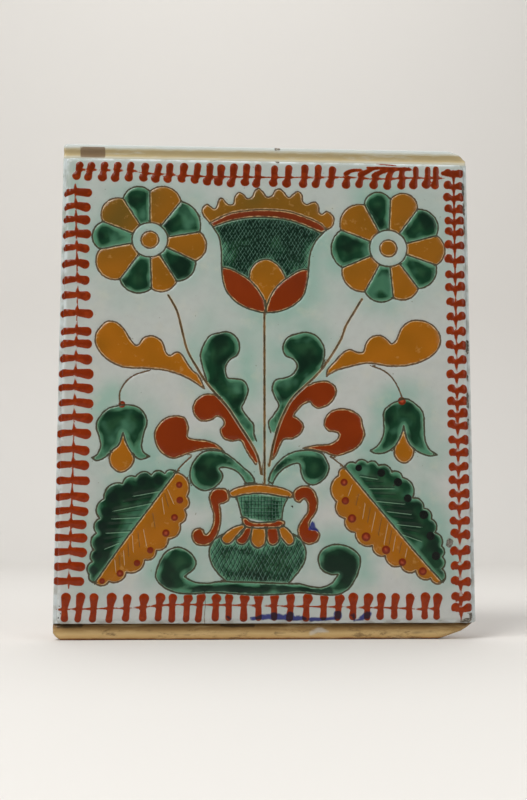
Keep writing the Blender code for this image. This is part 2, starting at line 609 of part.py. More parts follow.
def join(tile, other, operation):
    """Live Boolean on the tile."""
    modifier = tile.modifiers.new(other.name, "BOOLEAN")
    modifier.operation = operation
    modifier.solver = "EXACT"
    modifier.object = other


def glaze_material():
    """Plain white glaze for the solid."""
    material = bpy.data.materials.new("white_glaze")
    material.use_nodes = True
    shader = material.node_tree.nodes["Principled BSDF"]
    shader.inputs["Base Color"].default_value = GLAZE_WHITE
    shader.inputs["Roughness"].default_value = GLAZE_ROUGHNESS
    shader.inputs["Metallic"].default_value = 0.0
    material.diffuse_color = GLAZE_WHITE
    return material


def build_tile(parts, helpers, lines):
    """The tile: plate, panel and rump in one, then the cuts."""
    # The section's own axes lie along Y and Z.
    matrix = Matrix(((0, 0, 1, 0), (1, 0, 0, 0), (0, 1, 0, 0), (0, 0, 0, 1)))
    plate = prism("plate", plate_outline(), PLATE_WIDTH / 2, matrix, helpers)
    tile = link_mesh("stove_tile", plate.data, parts, helper=False)
    tile.matrix_world = plate.matrix_world
    bpy.data.objects.remove(plate, do_unlink=True)

    half = PANEL_WIDTH / 2
    panel = block(
        "panel", (-half, FACE_Y, PANEL_LOW), (half, RIM_Y + PLATE_THICKNESS / 2, PANEL_TOP), helpers,
        rounds=((lambda edge: along_depth(edge) or on_front(edge), PANEL_ROUND, 3),),
    )
    join(tile, panel, "UNION")

    half = RUMP_WIDTH / 2
    inside = half - RUMP_WALL
    embedded = PLATE_BACK_Y - PLATE_THICKNESS / 2
    rump = block(
        "rump", (-half, embedded, RUMP_LOW), (half, 0, RUMP_TOP), helpers,
        rounds=((along_depth, RUMP_CORNER, 3),),
    )
    lip = block(
        "lip", (-half - LIP_REACH, -LIP_DEPTH, RUMP_LOW - LIP_REACH),
        (half + LIP_REACH, 0, RUMP_TOP + LIP_REACH), helpers,
        rounds=((along_depth, RUMP_CORNER + LIP_REACH, 3),),
    )
    hollow = block(
        "hollow", (-inside, PLATE_BACK_Y, RUMP_LOW + RUMP_WALL),
        (inside, LIP_DEPTH, RUMP_TOP - RUMP_WALL), helpers,
        rounds=((along_depth, max(RUMP_CORNER - RUMP_WALL, RUMP_CORNER / 4), 2),),
    )
    join(tile, rump, "UNION")
    join(tile, lip, "UNION")
    join(tile, hollow, "DIFFERENCE")

    corners = (
        ("lower_right_cut", 1, -1, LOWER_RIGHT_CUT), ("upper_right_cut", 1, 1, UPPER_RIGHT_CUT),
        ("lower_left_cut", -1, -1, LOWER_LEFT_CUT), ("upper_left_cut", -1, 1, UPPER_LEFT_CUT),
    )
    for name, side, end, cut in corners:
        join(tile, corner_cutter(name, side, end, cut, helpers), "DIFFERENCE")

    for index, (points, closed) in enumerate(drawing()):
        groove_cutter(f"line_{index:03d}", points, closed, lines)
    grooves = tile.modifiers.new("drawing", "BOOLEAN")
    grooves.operation = "DIFFERENCE"
    grooves.solver = "EXACT"
    grooves.operand_type = "COLLECTION"
    grooves.collection = lines

    tile.data.materials.append(glaze_material())
    return tile


def main():
    clear_scene()
    parts = new_collection("stove_tile_parts")
    helpers = new_collection("joined_and_cut_shapes")
    lines = new_collection("line_cutters")
    build_tile(parts, helpers, lines)


main()
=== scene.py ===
"""Looks of the stove tile: an incised, painted and glazed face on a fired-clay body.

Lengths of the drawing and of the body are in millimetres, and the finished mesh is
in metres. The drawing is read on a sheet whose lower middle is the panel's lower
middle, X to the right and Z up, as in the solid's own source.
"""

import logging
import math
import random
from collections.abc import Iterable
from dataclasses import dataclass, field
from enum import Enum

import bmesh
import bpy
import numpy as np
from mathutils import Matrix, Vector, noise


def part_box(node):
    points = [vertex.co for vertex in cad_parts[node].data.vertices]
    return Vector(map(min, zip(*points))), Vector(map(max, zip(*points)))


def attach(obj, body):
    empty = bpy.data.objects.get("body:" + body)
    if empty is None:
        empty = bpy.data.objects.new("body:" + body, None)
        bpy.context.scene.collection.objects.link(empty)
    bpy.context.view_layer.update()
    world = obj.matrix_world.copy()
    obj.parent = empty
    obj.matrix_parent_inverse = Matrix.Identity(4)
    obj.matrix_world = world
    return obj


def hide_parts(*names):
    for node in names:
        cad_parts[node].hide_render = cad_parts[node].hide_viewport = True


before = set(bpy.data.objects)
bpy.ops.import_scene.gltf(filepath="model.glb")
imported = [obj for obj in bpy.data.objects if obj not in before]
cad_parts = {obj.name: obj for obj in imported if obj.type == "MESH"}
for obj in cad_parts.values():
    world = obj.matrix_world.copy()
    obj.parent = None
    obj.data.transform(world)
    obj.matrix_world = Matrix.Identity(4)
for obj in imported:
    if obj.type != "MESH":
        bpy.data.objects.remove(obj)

log = logging.getLogger("stove_tile")

Point = tuple[float, float]
Run = list[Point]
Colour = tuple[float, float, float, float]
Stops = tuple[tuple[float, Colour], ...]
Array = np.ndarray
Fields = dict[str, Array]
Ring = list[bmesh.types.BMVert]
Socket = bpy.types.NodeSocket

MM = 0.001
FAR = 3.0  # distances are kept up to this many millimetres
DEEP = 6.0  # and those to the glazed fields up to this many
CURVE_STEPS = 10
COARSE, MIDDLING, FINE = 1.9, 0.95, 0.5  # longest edges of the mesh, in millimetres
BATCH = 20000  # places that are measured at once
PATCH_CORNERS = ((-95.5, 233.2), (-83, 238.4))  # of the dark patch on the upper flange


def smooth(points: Iterable[Point], closed: bool = False, steps: int = CURVE_STEPS) -> Run:
    """Catmull-Rom curve through the points. A point written twice is a corner.

    Args:
        points: Points of the curve.
        closed: Whether the curve returns to its first point.
        steps: Stretches between two points.

    Returns:
        The curve's points.
    """
    knots = list(points)
    if closed:
        knots = knots + knots[:1]
    curve = []
    for index in range(len(knots) - 1):
        start, end = knots[index], knots[index + 1]
        if start == end:
            continue
        before = knots[index - 1] if index else (knots[-2] if closed else start)
        if index + 2 < len(knots):
            after = knots[index + 2]
        else:
            after = knots[1] if closed else end
        for step in range(steps):
            t = step / steps
            curve.append(tuple(
                0.5 * (2 * b + (c - a) * t + (2 * a - 5 * b + 4 * c - d) * t ** 2
                       + (3 * b - a - 3 * c + d) * t ** 3)
                for a, b, c, d in zip(before, start, end, after)
            ))
    if not closed:
        curve.append(knots[-1])
    return curve


def arc(start: Point, middle: Point, end: Point, steps: int = CURVE_STEPS) -> Run:
    """Circular arc through three points, without its end point.

    Args:
        start: First point.
        middle: A point on the way.
        end: Last point.
        steps: Stretches of the arc.

    Returns:
        The arc's points.
    """
    a, b, c = (complex(*p) for p in (start, middle, end))
    w = (c - a) / (b - a)
    if abs(w.imag) < 1e-9:
        return [start]
    centre = (b - a) * (w - abs(w) ** 2) / (2j * w.imag) + a
    first = a - centre
    whole, part = (c - centre) / first, (b - centre) / first
    turn, half = math.atan2(whole.imag, whole.real), math.atan2(part.imag, part.real)
    if turn * half < 0:
        turn -= math.copysign(math.tau, turn)
    run = []
    for step in range(steps):
        angle = turn * step / steps
        place = centre + first * complex(math.cos(angle), math.sin(angle))
        run.append((place.real, place.imag))
    return run


def polar(centre: Point, radius: float, angle: float) -> Point:
    """Point at a radius and an angle in degrees round a centre."""
    turn = math.radians(angle)
    return centre[0] + radius * math.cos(turn), centre[1] + radius * math.sin(turn)


def circle(centre: Point, radius: float, steps: int = 36) -> Run:
    """Points round a circle, the first one written again at the end."""
    return [polar(centre, radius, 360 * step / steps) for step in range(steps + 1)]


def toothed(notches: Iterable[Point], outwards: int, bulge: float = 0.27) -> Run:
    """Side of a leaf, with a round tooth between each two notches.

    Args:
        notches: Notches from the stalk to the tip.
        outwards: 1 or -1, the side that the teeth bulge to.
        bulge: How far a tooth stands out, as a share of its width.

    Returns:
        The side's points.
    """
    notches = list(notches)
    run = []
    for start, end in zip(notches, notches[1:]):
        along = Vector(end) - Vector(start)
        crest = (Vector(start) + Vector(end)) / 2
        crest += Vector((along.y, -along.x)) * bulge * outwards
        run += arc(start, tuple(crest), end)
    return run + [notches[-1]]


def between(line: Run, start: Point, end: Point) -> Run:
    """Stretch of a line from near one point to near another.

    Args:
        line: The line.
        start: Where the stretch starts.
        end: Where it ends.

    Returns:
        The stretch's points.
    """
    first, last = (min(range(len(line)), key=lambda index: math.dist(line[index], place))
                   for place in (start, end))
    return line[first:last + 1] if first <= last else line[last:first + 1][::-1]


class Glaze(Enum):
    """Coloured glazes of the painting."""

    GREEN = "green"
    OCHRE = "ochre"
    RED = "red"


class Hatch(Enum):
    """Scratched hatchings: slope of the lines in degrees, and their two spacings."""

    NONE = (0.0, 1.0, 1.0)
    CUP = (60.0, 1.55, 1.55)
    NECK = (90.0, 1.6, 1.7)
    BELLY = (62.0, 1.9, 1.9)


@dataclass(frozen=True)
class Fill:
    """One glazed field of the drawing."""

    glaze: Glaze
    outline: Run
    tone: float = 0.0
    hatch: Hatch = Hatch.NONE


@dataclass(frozen=True)
class Stroke:
    """Tapered stroke with round ends."""

    start: Point
    end: Point
    start_radius: float
    end_radius: float


def soft_spots(rows: Iterable[tuple[Point, Point, float, float]]) -> tuple[tuple[Stroke, float], ...]:
    """Even strokes with their strengths, from rows of both ends, a radius and a strength."""
    return tuple((Stroke(start, end, radius, radius), strength) for start, end, radius, strength in rows)


@dataclass
class Marks:
    """Everything that the drawing puts on the panel, by kind."""

    fills: list[Fill] = field(default_factory=list)
    lines: list[Run] = field(default_factory=list)
    light_scratches: list[Run] = field(default_factory=list)
    dark_scratches: list[Run] = field(default_factory=list)
    slip: list[Stroke] = field(default_factory=list)
    stems: list[Run] = field(default_factory=list)
    dark_dots: list[Stroke] = field(default_factory=list)
    soft_dots: list[Stroke] = field(default_factory=list)
    red_dots: list[Stroke] = field(default_factory=list)
    blue: list[Stroke] = field(default_factory=list)
    chips: list[Stroke] = field(default_factory=list)
    specks: list[Stroke] = field(default_factory=list)
    stains: list[tuple[Stroke, float]] = field(default_factory=list)


@dataclass(frozen=True)
class Rosette:
    """Flower of ten petals round a ring and a core."""

    centre: Point
    core: float
    ring: float
    notch: float
    petals: tuple[Point, ...]
    pale: int = -1

    def draw(self, marks: Marks) -> None:
        """Add the rosette's fields and lines to the marks.

        Args:
            marks: The drawing so far.
        """
        marks.fills.append(Fill(Glaze.OCHRE, circle(self.centre, self.core)))
        marks.lines += [circle(self.centre, self.core), circle(self.centre, self.ring)]
        outline = []
        for index, (angle, tip) in enumerate(self.petals):
            following = self.petals[(index + 1) % len(self.petals)][0]
            turn = (following - angle) % 360
            foot = polar(self.centre, self.notch, angle)
            edge = arc(foot, polar(self.centre, tip, angle + turn / 2),
                       polar(self.centre, self.notch, following))
            steps = CURVE_STEPS // 2
            inner = [polar(self.centre, self.ring, angle + turn * (1 - step / steps))
                     for step in range(steps + 1)]
            glaze = Glaze.OCHRE if index % 2 else Glaze.GREEN
            tone = -0.9 if index == self.pale else 0.0
            marks.fills.append(Fill(glaze, edge + [polar(self.centre, self.notch, following)]
                                    + inner, tone))
            marks.lines.append([polar(self.centre, self.ring, angle), foot])
            outline += edge
        marks.lines.append(outline + outline[:1])


@dataclass(frozen=True)
class Tulip:
    """Tulip: a scalloped crown over a band, a hatched cup and two petals round a drop."""

    crown_top: Run
    crown_foot: Run
    band_foot: Run
    cup: Run
    left_petal: Run
    right_petal: Run
    drop: Run

    def draw(self, marks: Marks) -> None:
        """Add the tulip's fields and lines to the marks.

        Args:
            marks: The drawing so far.
        """
        top, foot = smooth(self.crown_top), smooth(self.crown_foot)
        band, cup = smooth(self.band_foot), smooth(self.cup)
        left, right, drop = smooth(self.left_petal), smooth(self.right_petal), smooth(self.drop)
        tip = self.left_petal[-1]
        marks.fills += [
            Fill(Glaze.GREEN, cup + band[::-1], 0.75, Hatch.CUP),
            Fill(Glaze.OCHRE, drop + between(right, drop[-1], tip) + between(left, tip, drop[0])),
            Fill(Glaze.RED, left + between(cup, tip, self.left_petal[0])),
            Fill(Glaze.RED, right + between(cup, tip, self.right_petal[0])),
            Fill(Glaze.OCHRE, top + foot[::-1]),
            Fill(Glaze.RED, foot + band[::-1]),
        ]
        marks.lines += [top, foot, band, cup, left, right, drop]


@dataclass(frozen=True)
class Spray:
    """Stems of the bunch with the leaves and commas that grow from them."""

    stems: tuple[Run, ...]
    stem_leaves: tuple[tuple[Glaze, int, Run], ...]
    leaves: tuple[tuple[Glaze, Run], ...]

    def draw(self, marks: Marks) -> None:
        """Add the spray's fields and lines to the marks.

        Args:
            marks: The drawing so far.
        """
        stems = [smooth(stem) for stem in self.stems]
        for glaze, stem, points in self.stem_leaves:
            run = smooth(points)
            marks.fills.append(Fill(glaze, run + between(stems[stem], run[-1], run[0])))
            marks.lines.append(run)
        for glaze, points in self.leaves:
            run = smooth(points, closed=True)
            marks.fills.append(Fill(glaze, run))
            marks.lines.append(run + run[:1])
        marks.lines += stems
        marks.stems += stems[:3]


@dataclass(frozen=True)
class BellFlower:
    """Hanging bell with a clapper and a dot on its crown."""

    bell: Run
    apex: Point
    clapper: Run
    dot: Point
    dot_radius: float

    def draw(self, marks: Marks) -> None:
        """Add the bell's fields and lines to the marks.

        Args:
            marks: The drawing so far.
        """
        bell, clapper = smooth(self.bell, closed=True), smooth(self.clapper)
        marks.fills += [Fill(Glaze.OCHRE, clapper + [self.apex]), Fill(Glaze.GREEN, bell)]
        marks.lines += [bell + bell[:1], clapper]
        marks.red_dots.append(Stroke(self.dot, self.dot, self.dot_radius, self.dot_radius))


@dataclass(frozen=True)
class TwoColourLeaf:
    """Toothed leaf, green on one side of its midrib and ochre on the other."""

    midrib: Run
    green_side: Run
    ochre_side: Run
    green_outwards: int
    dark_dots: tuple[tuple[float, float, float], ...]
    red_dots: tuple[tuple[float, float, float], ...]
    green_veins: tuple[tuple[Point, Point], ...]
    ochre_veins: tuple[tuple[Point, Point], ...]
    soft: bool = False
    vein_gap: float = 0.7

    def draw(self, marks: Marks) -> None:
        """Add the leaf's fields, lines, veins and dots to the marks.

        Args:
            marks: The drawing so far.
        """
        midrib = smooth(self.midrib)
        green = toothed(self.green_side, self.green_outwards)
        ochre = toothed(self.ochre_side, -self.green_outwards)
        marks.fills += [
            Fill(Glaze.GREEN, green + midrib[::-1]), Fill(Glaze.OCHRE, ochre + midrib[::-1]),
        ]
        marks.lines += [midrib, green, ochre]
        for start, end in self.green_veins:
            marks.dark_scratches.append([start, end])
            marks.light_scratches.append([(x, z - self.vein_gap) for x, z in (start, end)])
        marks.light_scratches += [list(vein) for vein in self.ochre_veins]
        for veins in (self.green_veins, self.ochre_veins):
            for first, second in zip(veins, veins[1:]):
                start, end = (Vector(a).lerp(Vector(b), 0.5) for a, b in zip(first, second))
                marks.dark_scratches.append([tuple(start), tuple(start.lerp(end, 0.85))])
        for kind, dots in ((marks.soft_dots if self.soft else marks.dark_dots, self.dark_dots),
                           (marks.red_dots, self.red_dots)):
            kind += [Stroke((x, z), (x, z), radius, radius) for x, z, radius in dots]


@dataclass(frozen=True)
class Vase:
    """Vase with a rim, a neck, a collar, shoulder petals, a belly, handles and a foot."""

    rim: Run
    neck_sides: tuple[Run, Run]
    collar: Run
    shoulder_petals: tuple[Run, ...]
    belly_sides: tuple[Run, Run]
    handles: tuple[Run, Run]
    foot: Run

    def draw(self, marks: Marks) -> None:
        """Add the vase's fields and lines to the marks.

        Args:
            marks: The drawing so far.
        """
        neck = [smooth(side) for side in self.neck_sides]
        belly = [smooth(side) for side in self.belly_sides]
        rim, collar, foot = (smooth(run, closed=True) for run in (self.rim, self.collar, self.foot))
        shoulder = [self.collar[8], self.collar[12]]
        marks.fills += [
            Fill(Glaze.GREEN, foot, 0.2),
            Fill(Glaze.GREEN, belly[0] + belly[1][::-1] + shoulder, -0.3, Hatch.BELLY),
            Fill(Glaze.GREEN, neck[0] + [self.collar[8]] + neck[1][::-1] + self.rim[-3:],
                 hatch=Hatch.NECK),
            Fill(Glaze.OCHRE, rim), Fill(Glaze.RED, collar),
        ]
        for index, points in enumerate(self.shoulder_petals):
            petal = smooth(points)
            marks.fills.append(Fill(Glaze.RED if index % 2 else Glaze.OCHRE, petal))
            marks.lines.append(petal)
        for points in self.handles:
            handle = smooth(points, closed=True)
            marks.fills.append(Fill(Glaze.RED, handle))
            marks.lines.append(handle + handle[:1])
        marks.lines += neck + belly + [run + run[:1] for run in (rim, collar, foot)]


@dataclass(frozen=True)
class CombedBorder:
    """Row of slip strokes, each two lobes, with a comb line drawn through their middles.

    A level border runs along X and its lobes point up and down. An upright border
    runs along Z and its lobes point right and left.
    """

    level: bool
    comb: Run
    places: tuple[float, ...]
    far_ends: Run
    near_ends: Run
    far_radius: float
    near_radius: float
    far_waist: float
    near_waist: float
    part: float
    far_shift: float
    near_shift: float
    barb: float
    waist_shift: float = 0.0
    barb_radii: tuple[float, float] = (1.35, 0.6)
    comb_radii: tuple[float, float] = (0.26, 0.26)
    smeared: tuple[float, float] = (1.0, 0.0)
    seed: int = 1

    def draw(self, marks: Marks) -> None:
        """Add the border's strokes to the marks.

        Args:
            marks: The drawing so far.
        """
        chance = random.Random(self.seed)
        comb = sorted((p if self.level else p[::-1]) for p in self.comb)
        far_ends, near_ends = sorted(self.far_ends), sorted(self.near_ends)

        def at(place: float, offset: float) -> Point:
            """Sheet point at a place along the border and an offset across it."""
            return (place, offset) if self.level else (offset, place)

        for place in self.places:
            middle, far, near = (float(np.interp(place, *zip(*run)))
                                 for run in (comb, far_ends, near_ends))
            near_radius = self.near_radius * chance.uniform(0.9, 1.1)
            far_radius = self.far_radius * chance.uniform(0.9, 1.1)
            far += chance.uniform(-0.4, 0.4) - far_radius
            near += chance.uniform(-0.4, 0.4) + near_radius
            far_place = place + self.far_shift + chance.uniform(-0.35, 0.35)
            near_place = place + self.near_shift + chance.uniform(-0.35, 0.35)
            waist = place + self.waist_shift
            if not self.smeared[0] <= place <= self.smeared[1]:
                marks.slip.append(Stroke(at(waist, middle + self.part), at(far_place, far),
                                         self.far_waist, far_radius))
            marks.slip.append(Stroke(at(waist, middle - self.part), at(near_place, near),
                                     self.near_waist, near_radius))
            root, knee, tip = (at(place + share * self.barb, middle) for share in (0.15, 0.55, 1.0))
            thick, thin = self.barb_radii
            marks.slip.append(Stroke(root, knee, thick, thin))
            marks.slip.append(Stroke(knee, tip, thin, 0.16))
        radii = np.linspace(*self.comb_radii, len(self.comb)).tolist()
        for index, (start, end) in enumerate(zip(self.comb, self.comb[1:])):
            marks.slip.append(Stroke(start, end, *radii[index:index + 2]))


@dataclass(frozen=True)
class Brushed:
    """Slip strokes drawn freely, each a run of points with a radius at either end."""

    strokes: tuple[tuple[Run, float, float], ...]

    def draw(self, marks: Marks) -> None:
        """Add the strokes to the marks.

        Args:
            marks: The drawing so far.
        """
        for points, first, last in self.strokes:
            run = smooth(points, steps=4)
            radii = np.linspace(first, last, len(run)).tolist()
            marks.slip += [Stroke(*ends, *radii[index:index + 2])
                           for index, ends in enumerate(zip(run, run[1:]))]


@dataclass(frozen=True)
class Wear:
    """Chips, pits, specks and stray strokes of colour on the panel."""

    blue: tuple[tuple[Point, Point, float], ...] = (
        ((3.6, 3.8), (3.8, 3), 1.8), ((11.5, 4), (11.7, 3), 1.9), ((34.6, 4.6), (34.8, 3.4), 1.7),
        ((48.3, 4.2), (48.6, 3.2), 1.7), ((-7, 2.4), (-2, 3.4), 1), ((-2, 3.2), (4, 3.4), 1.4),
        ((4, 3.6), (10, 3), 1.5), ((10, 2.8), (18.4, 2.4), 1.3), ((21, 2), (33, 2.4), 1),
        ((33.5, 4.6), (34.6, 3), 1.3), ((41.3, 4), (41.8, 2.8), 1.1), ((42, 1.6), (46, 1.8), 0.5),
        ((46.2, 2.8), (49.6, 4.6), 1.3), ((21.4, 45.6), (22.6, 48.4), 1.2),
        ((22.6, 46), (24.6, 44.4), 0.8), ((-18.6, 3.5), (-17.4, 2.3), 0.6),
    )
    specks: tuple[tuple[Point, float], ...] = (
        ((12, 56), 0.75), ((-36, 150.5), 0.35), ((-30, 146), 0.3), ((-42.3, 107), 0.35),
        ((31.5, 139.5), 0.4), ((-6.5, 73), 0.35), ((62, 66.5), 0.45), ((-53, 77), 0.35),
        ((-98.6, 8.5), 0.4), ((-97.8, 5), 0.35), ((-98.8, 3), 0.4), ((-96.6, 12), 0.3), ((88.2, 214), 0.3),
        ((71.4, 229.4), 0.35), ((-8, 228), 0.3), ((-58, 226), 0.3), ((93, 4.4), 0.3), ((95.6, 3.6), 0.35),
        ((97.4, 4.8), 0.3), ((94.2, 2.6), 0.25),
    )
    chips: tuple[tuple[Point, Point, float], ...] = (
        ((96.5, 1.6), (98.6, 1.4), 1), ((98.6, 4.4), (99.2, 3), 0.8), ((94.2, 1), (95.2, 0.9), 0.6),
        ((99.6, 221), (99.5, 216), 0.9), ((99.8, 210.5), (99.8, 205.5), 0.8),
        ((99.9, 199.5), (99.8, 196), 0.7), ((100.2, 139), (100.1, 134), 1.1),
        ((100, 121.6), (100, 119.8), 0.8), ((99.8, 112.5), (99.8, 106), 0.9),
        ((99.8, 99.5), (99.8, 97.5), 0.7), ((99.6, 84), (99.6, 82.5), 0.5),
        ((99.6, 60), (99.6, 58.5), 0.5), ((99.5, 36.5), (99.5, 35.2), 0.6),
        ((99.5, 20.5), (99.5, 19.6), 0.5), ((4, 231.6), (4.6, 231.2), 0.8),
        ((88.8, 38), (89.2, 39.2), 1.6), ((3.6, 239.2), (5, 239), 0.8),
    )
    cracks: tuple[tuple[Point, ...], ...] = (
        ((-29.6, -6.5), (-29.2, -2), (-29.8, 3), (-29.3, 9), (-29.7, 17)),
    )
    stains: tuple[tuple[Point, Point, float, float], ...] = (
        ((-22, -1), (-6, -1.1), 1, 1), ((-99, -1.2), (-88, -1), 1.3, 0.9),
        ((21.5, -4.8), (25.5, -3.4), 1.7, -0.9), ((26, -3), (29.5, -4), 1.2, -0.8),
        ((40, -2), (52, -2.2), 1, 0.5), ((-62, -3), (-52, -3.6), 1.4, 0.5),
        ((-78, -4.4), (-74, -2), 1.2, 0.6), ((70, -4.8), (82, -4.2), 1.3, 0.6),
        ((4, -4.6), (9, -4.8), 1.2, 0.6), ((-44, -5.2), (-36, -5.4), 1, 0.7),
        ((76.6, 219.5), (76.2, 206), 1, 0.16), ((92.5, 4.2), (97.5, 4), 1.6, 0.35),
        ((-97.5, 3), (-97.8, 14), 1.4, 0.3),
    )

    def draw(self, marks: Marks) -> None:
        """Add the wear to the marks.

        Args:
            marks: The drawing so far.
        """
        marks.blue += [Stroke(start, end, radius, radius * 0.7) for start, end, radius in self.blue]
        marks.chips += [Stroke(start, end, radius, radius) for start, end, radius in self.chips]
        marks.specks += [Stroke(place, place, radius, radius) for place, radius in self.specks]
        marks.dark_scratches += [list(crack) for crack in self.cracks]
        marks.stains += soft_spots(self.stains)


@dataclass(frozen=True)
class TileSizes:
    """Sizes of the tile in millimetres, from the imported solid's box and named margins."""

    left: float
    right: float
    low: float
    top: float
    front: float
    back: float
    side_strip: float = 1.8
    flange_reach: float = 7.8
    channel_depth: float = 1.7
    rim_round: float = 1.6
    edge_round: float = 0.7
    panel_rise: float = 3.3
    panel_round: float = 2.8
    panel_wall: float = 0.5
    wall_draft: float = 0.15
    plate_thickness: float = 9.0
    rump_wall: float = 9.0
    rump_inset_side: float = 17.0
    rump_inset_end: float = 19.0
    rump_corner: float = 12.0
    lip_depth: float = 7.0
    lip_reach: float = 2.5
    lower_right_cut: Point = (18.5, 8.6)
    upper_right_cut: Point = (9.0, 4.6)
    lower_left_cut: Point = (3.6, 3.4)
    upper_left_cut: Point = (1.4, 1.4)
    cut_bend: Point = (0.38, 0.45)
    strip_drop: float = 0.204

    @classmethod
    def of_node(cls, node: str) -> "TileSizes":
        """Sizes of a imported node's box."""
        low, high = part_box(node)
        return cls(low[0] / MM, high[0] / MM, low[2] / MM, high[2] / MM, low[1] / MM, high[1] / MM)

    @property
    def panel_left(self) -> float:
        """Left side of the panel."""
        return self.left + self.side_strip

    @property
    def panel_right(self) -> float:
        """Right side of the panel."""
        return self.right - self.side_strip

    @property
    def panel_low(self) -> float:
        """Lower side of the panel."""
        return self.low + self.flange_reach

    @property
    def panel_top(self) -> float:
        """Upper side of the panel."""
        return self.top - self.flange_reach

    @property
    def rim(self) -> float:
        """Depth place of the flange rims."""
        return self.front + self.panel_rise

    @property
    def plate_back(self) -> float:
        """Depth place of the plate's back."""
        return self.rim + self.plate_thickness

    def laid(self, run: Iterable[Point], sheet: Point = (200.0, 232.0), lean: float = 2.0,
             lift: float = 0.6) -> Array:
        """Lay points of the drawing on the panel, a little askew as on the real tile.

        Args:
            run: Points in sheet millimetres.
            sheet: Width and height of the sheet.
            lean: How far the sheet's upper left corner is set in.
            lift: How far the sheet's middle sits above its place.

        Returns:
            The points in the tile's own millimetres, one row each.
        """
        points = np.array(list(run), float)
        across, up = points[:, 0] / sheet[0], points[:, 1] / sheet[1]
        across = across + lean / sheet[0] * (0.5 - across) * up
        up = up + lift / sheet[1] * 4 * up * (1 - up)
        middle = (self.panel_left + self.panel_right) / 2
        return np.stack([
            middle + across * (self.panel_right - self.panel_left),
            self.panel_low + up * (self.panel_top - self.panel_low),
        ], axis=1)

    def corner_cuts(self) -> list[tuple[Array, Array]]:
        """Straight cuts at the plate's corners.

        Returns:
            A point on each cut and the direction out of the plate.
        """
        cuts = []
        for side, end, (across, up) in (
                (1, -1, self.lower_right_cut), (1, 1, self.upper_right_cut),
                (-1, -1, self.lower_left_cut), (-1, 1, self.upper_left_cut)):
            x = self.right if side > 0 else self.left
            z = self.top if end > 0 else self.low
            knots = [np.array((x - side * across, z)),
                     np.array((x - side * self.cut_bend[0] * across, z - end * self.cut_bend[1] * up)),
                     np.array((x, z - end * up))]
            for start, stop in zip(knots, knots[1:]):
                along = stop - start
                outwards = np.array((along[1], -along[0]))
                outwards *= np.sign(outwards @ np.array((side, end))) / np.linalg.norm(outwards)
                cuts.append((start, outwards))
        return cuts

    def edge_distance(self, places: Array) -> Array:
        """Distance inwards from the plate's outline.

        Args:
            places: Places on the front, one row each.

        Returns:
            One distance for each place.
        """
        x, z = places.T
        inwards = np.minimum.reduce([x - self.left, self.right - x, z - self.low, self.top - z])
        for point, outwards in self.corner_cuts():
            inwards = np.minimum(inwards, -((places - point) @ outwards))
        return inwards

    def panel_distance(self, places: Array) -> Array:
        """Distance inwards from the panel's outline.

        Args:
            places: Places on the front, one row each.

        Returns:
            One distance for each place, negative outside the panel.
        """
        middle = np.array((self.panel_left + self.panel_right, self.panel_low + self.panel_top)) / 2
        half = np.array((self.panel_right - self.panel_left, self.panel_top - self.panel_low)) / 2
        over = np.abs(places - middle) - (half - self.panel_round)
        outside = np.hypot(*np.maximum(over, 0).T)
        return self.panel_round - outside - np.minimum(over.max(axis=1), 0)

    def flange_shares(self, up: Array) -> tuple[Array, Array]:
        """Shares of the way out over the upper and the lower flange, negative on the panel."""
        return (up - self.panel_top) / self.flange_reach, (self.panel_low - up) / self.flange_reach


def line_distances(places: Array, run: Array) -> tuple[Array, Array]:
    """Distances of places to a run of straight stretches.

    Args:
        places: Places, one row each.
        run: Points of the run, one row each.

    Returns:
        The distance with a sign for the side, and the plain distance.
    """
    start, along = run[:-1], np.diff(run, axis=0)
    length = np.maximum(np.hypot(*along.T), 1e-9)
    from_start = places[:, None, :] - start[None]
    share = np.clip((from_start * along).sum(axis=2) / length ** 2, 0, 1)
    off = from_start - share[..., None] * along
    squared = (off ** 2).sum(axis=2)
    across = (along[:, 0] * from_start[..., 1] - along[:, 1] * from_start[..., 0]) / length
    # Past a bend two stretches are equally near, and the one seen more squarely gives the side.
    nearest = (squared - 1e-4 * across ** 2).argmin(axis=1)
    rows = np.arange(len(places))
    near = np.sqrt(squared[rows, nearest])
    return np.copysign(near, across[rows, nearest]), near


def stretch_distances(places: Array, start: Array, end: Array) -> tuple[Array, Array]:
    """Distances of places to one straight stretch.

    Args:
        places: Places, one row each.
        start: One end of the stretch.
        end: Its other end.

    Returns:
        The distance, and the share of the way along the stretch.
    """
    from_start, along = places - start, end - start
    share = np.clip(from_start @ along / max(along @ along, 1e-9), 0, 1)
    return np.hypot(*(from_start - share[:, None] * along).T), share


def inside(places: Array, outline: Array) -> Array:
    """Which places lie inside a closed outline.

    Args:
        places: Places, one row each.
        outline: Points of the outline, one row each.

    Returns:
        Whether each place is inside.
    """
    x, z = places[:, :1], places[:, 1:]
    start, end = outline, np.roll(outline, -1, axis=0)
    crosses = (start[:, 1] > z) != (end[:, 1] > z)
    rise = end[:, 1] - start[:, 1]
    rise = np.where(np.abs(rise) < 1e-12, 1e-12, rise)
    reach = start[:, 0] + (z - start[:, 1]) * (end[:, 0] - start[:, 0]) / rise
    return (crosses & (x < reach)).sum(axis=1) % 2 == 1


def close_to(places: Array, run: Array, reach: float) -> Array:
    """Indices of the places within a reach of a run's box."""
    low, high = run.min(axis=0) - reach, run.max(axis=0) + reach
    return np.flatnonzero(((places > low) & (places < high)).all(axis=1))


def wave(places: Array, size: float, seed: float, detail: int = 1) -> Array:
    """Soft waves between about -1 and 1 over the places.

    Args:
        places: Places, one row each.
        size: Size of the waves in millimetres.
        seed: Offset that picks the pattern.
        detail: Octaves.

    Returns:
        One value for each place.
    """
    result = np.zeros(len(places))
    for octave in range(detail):
        scale = 2 ** octave / size
        result += np.array([
            noise.noise(Vector((x * scale, z * scale, seed + 7.3 * octave))) for x, z in places
        ]) / 2 ** octave
    return result


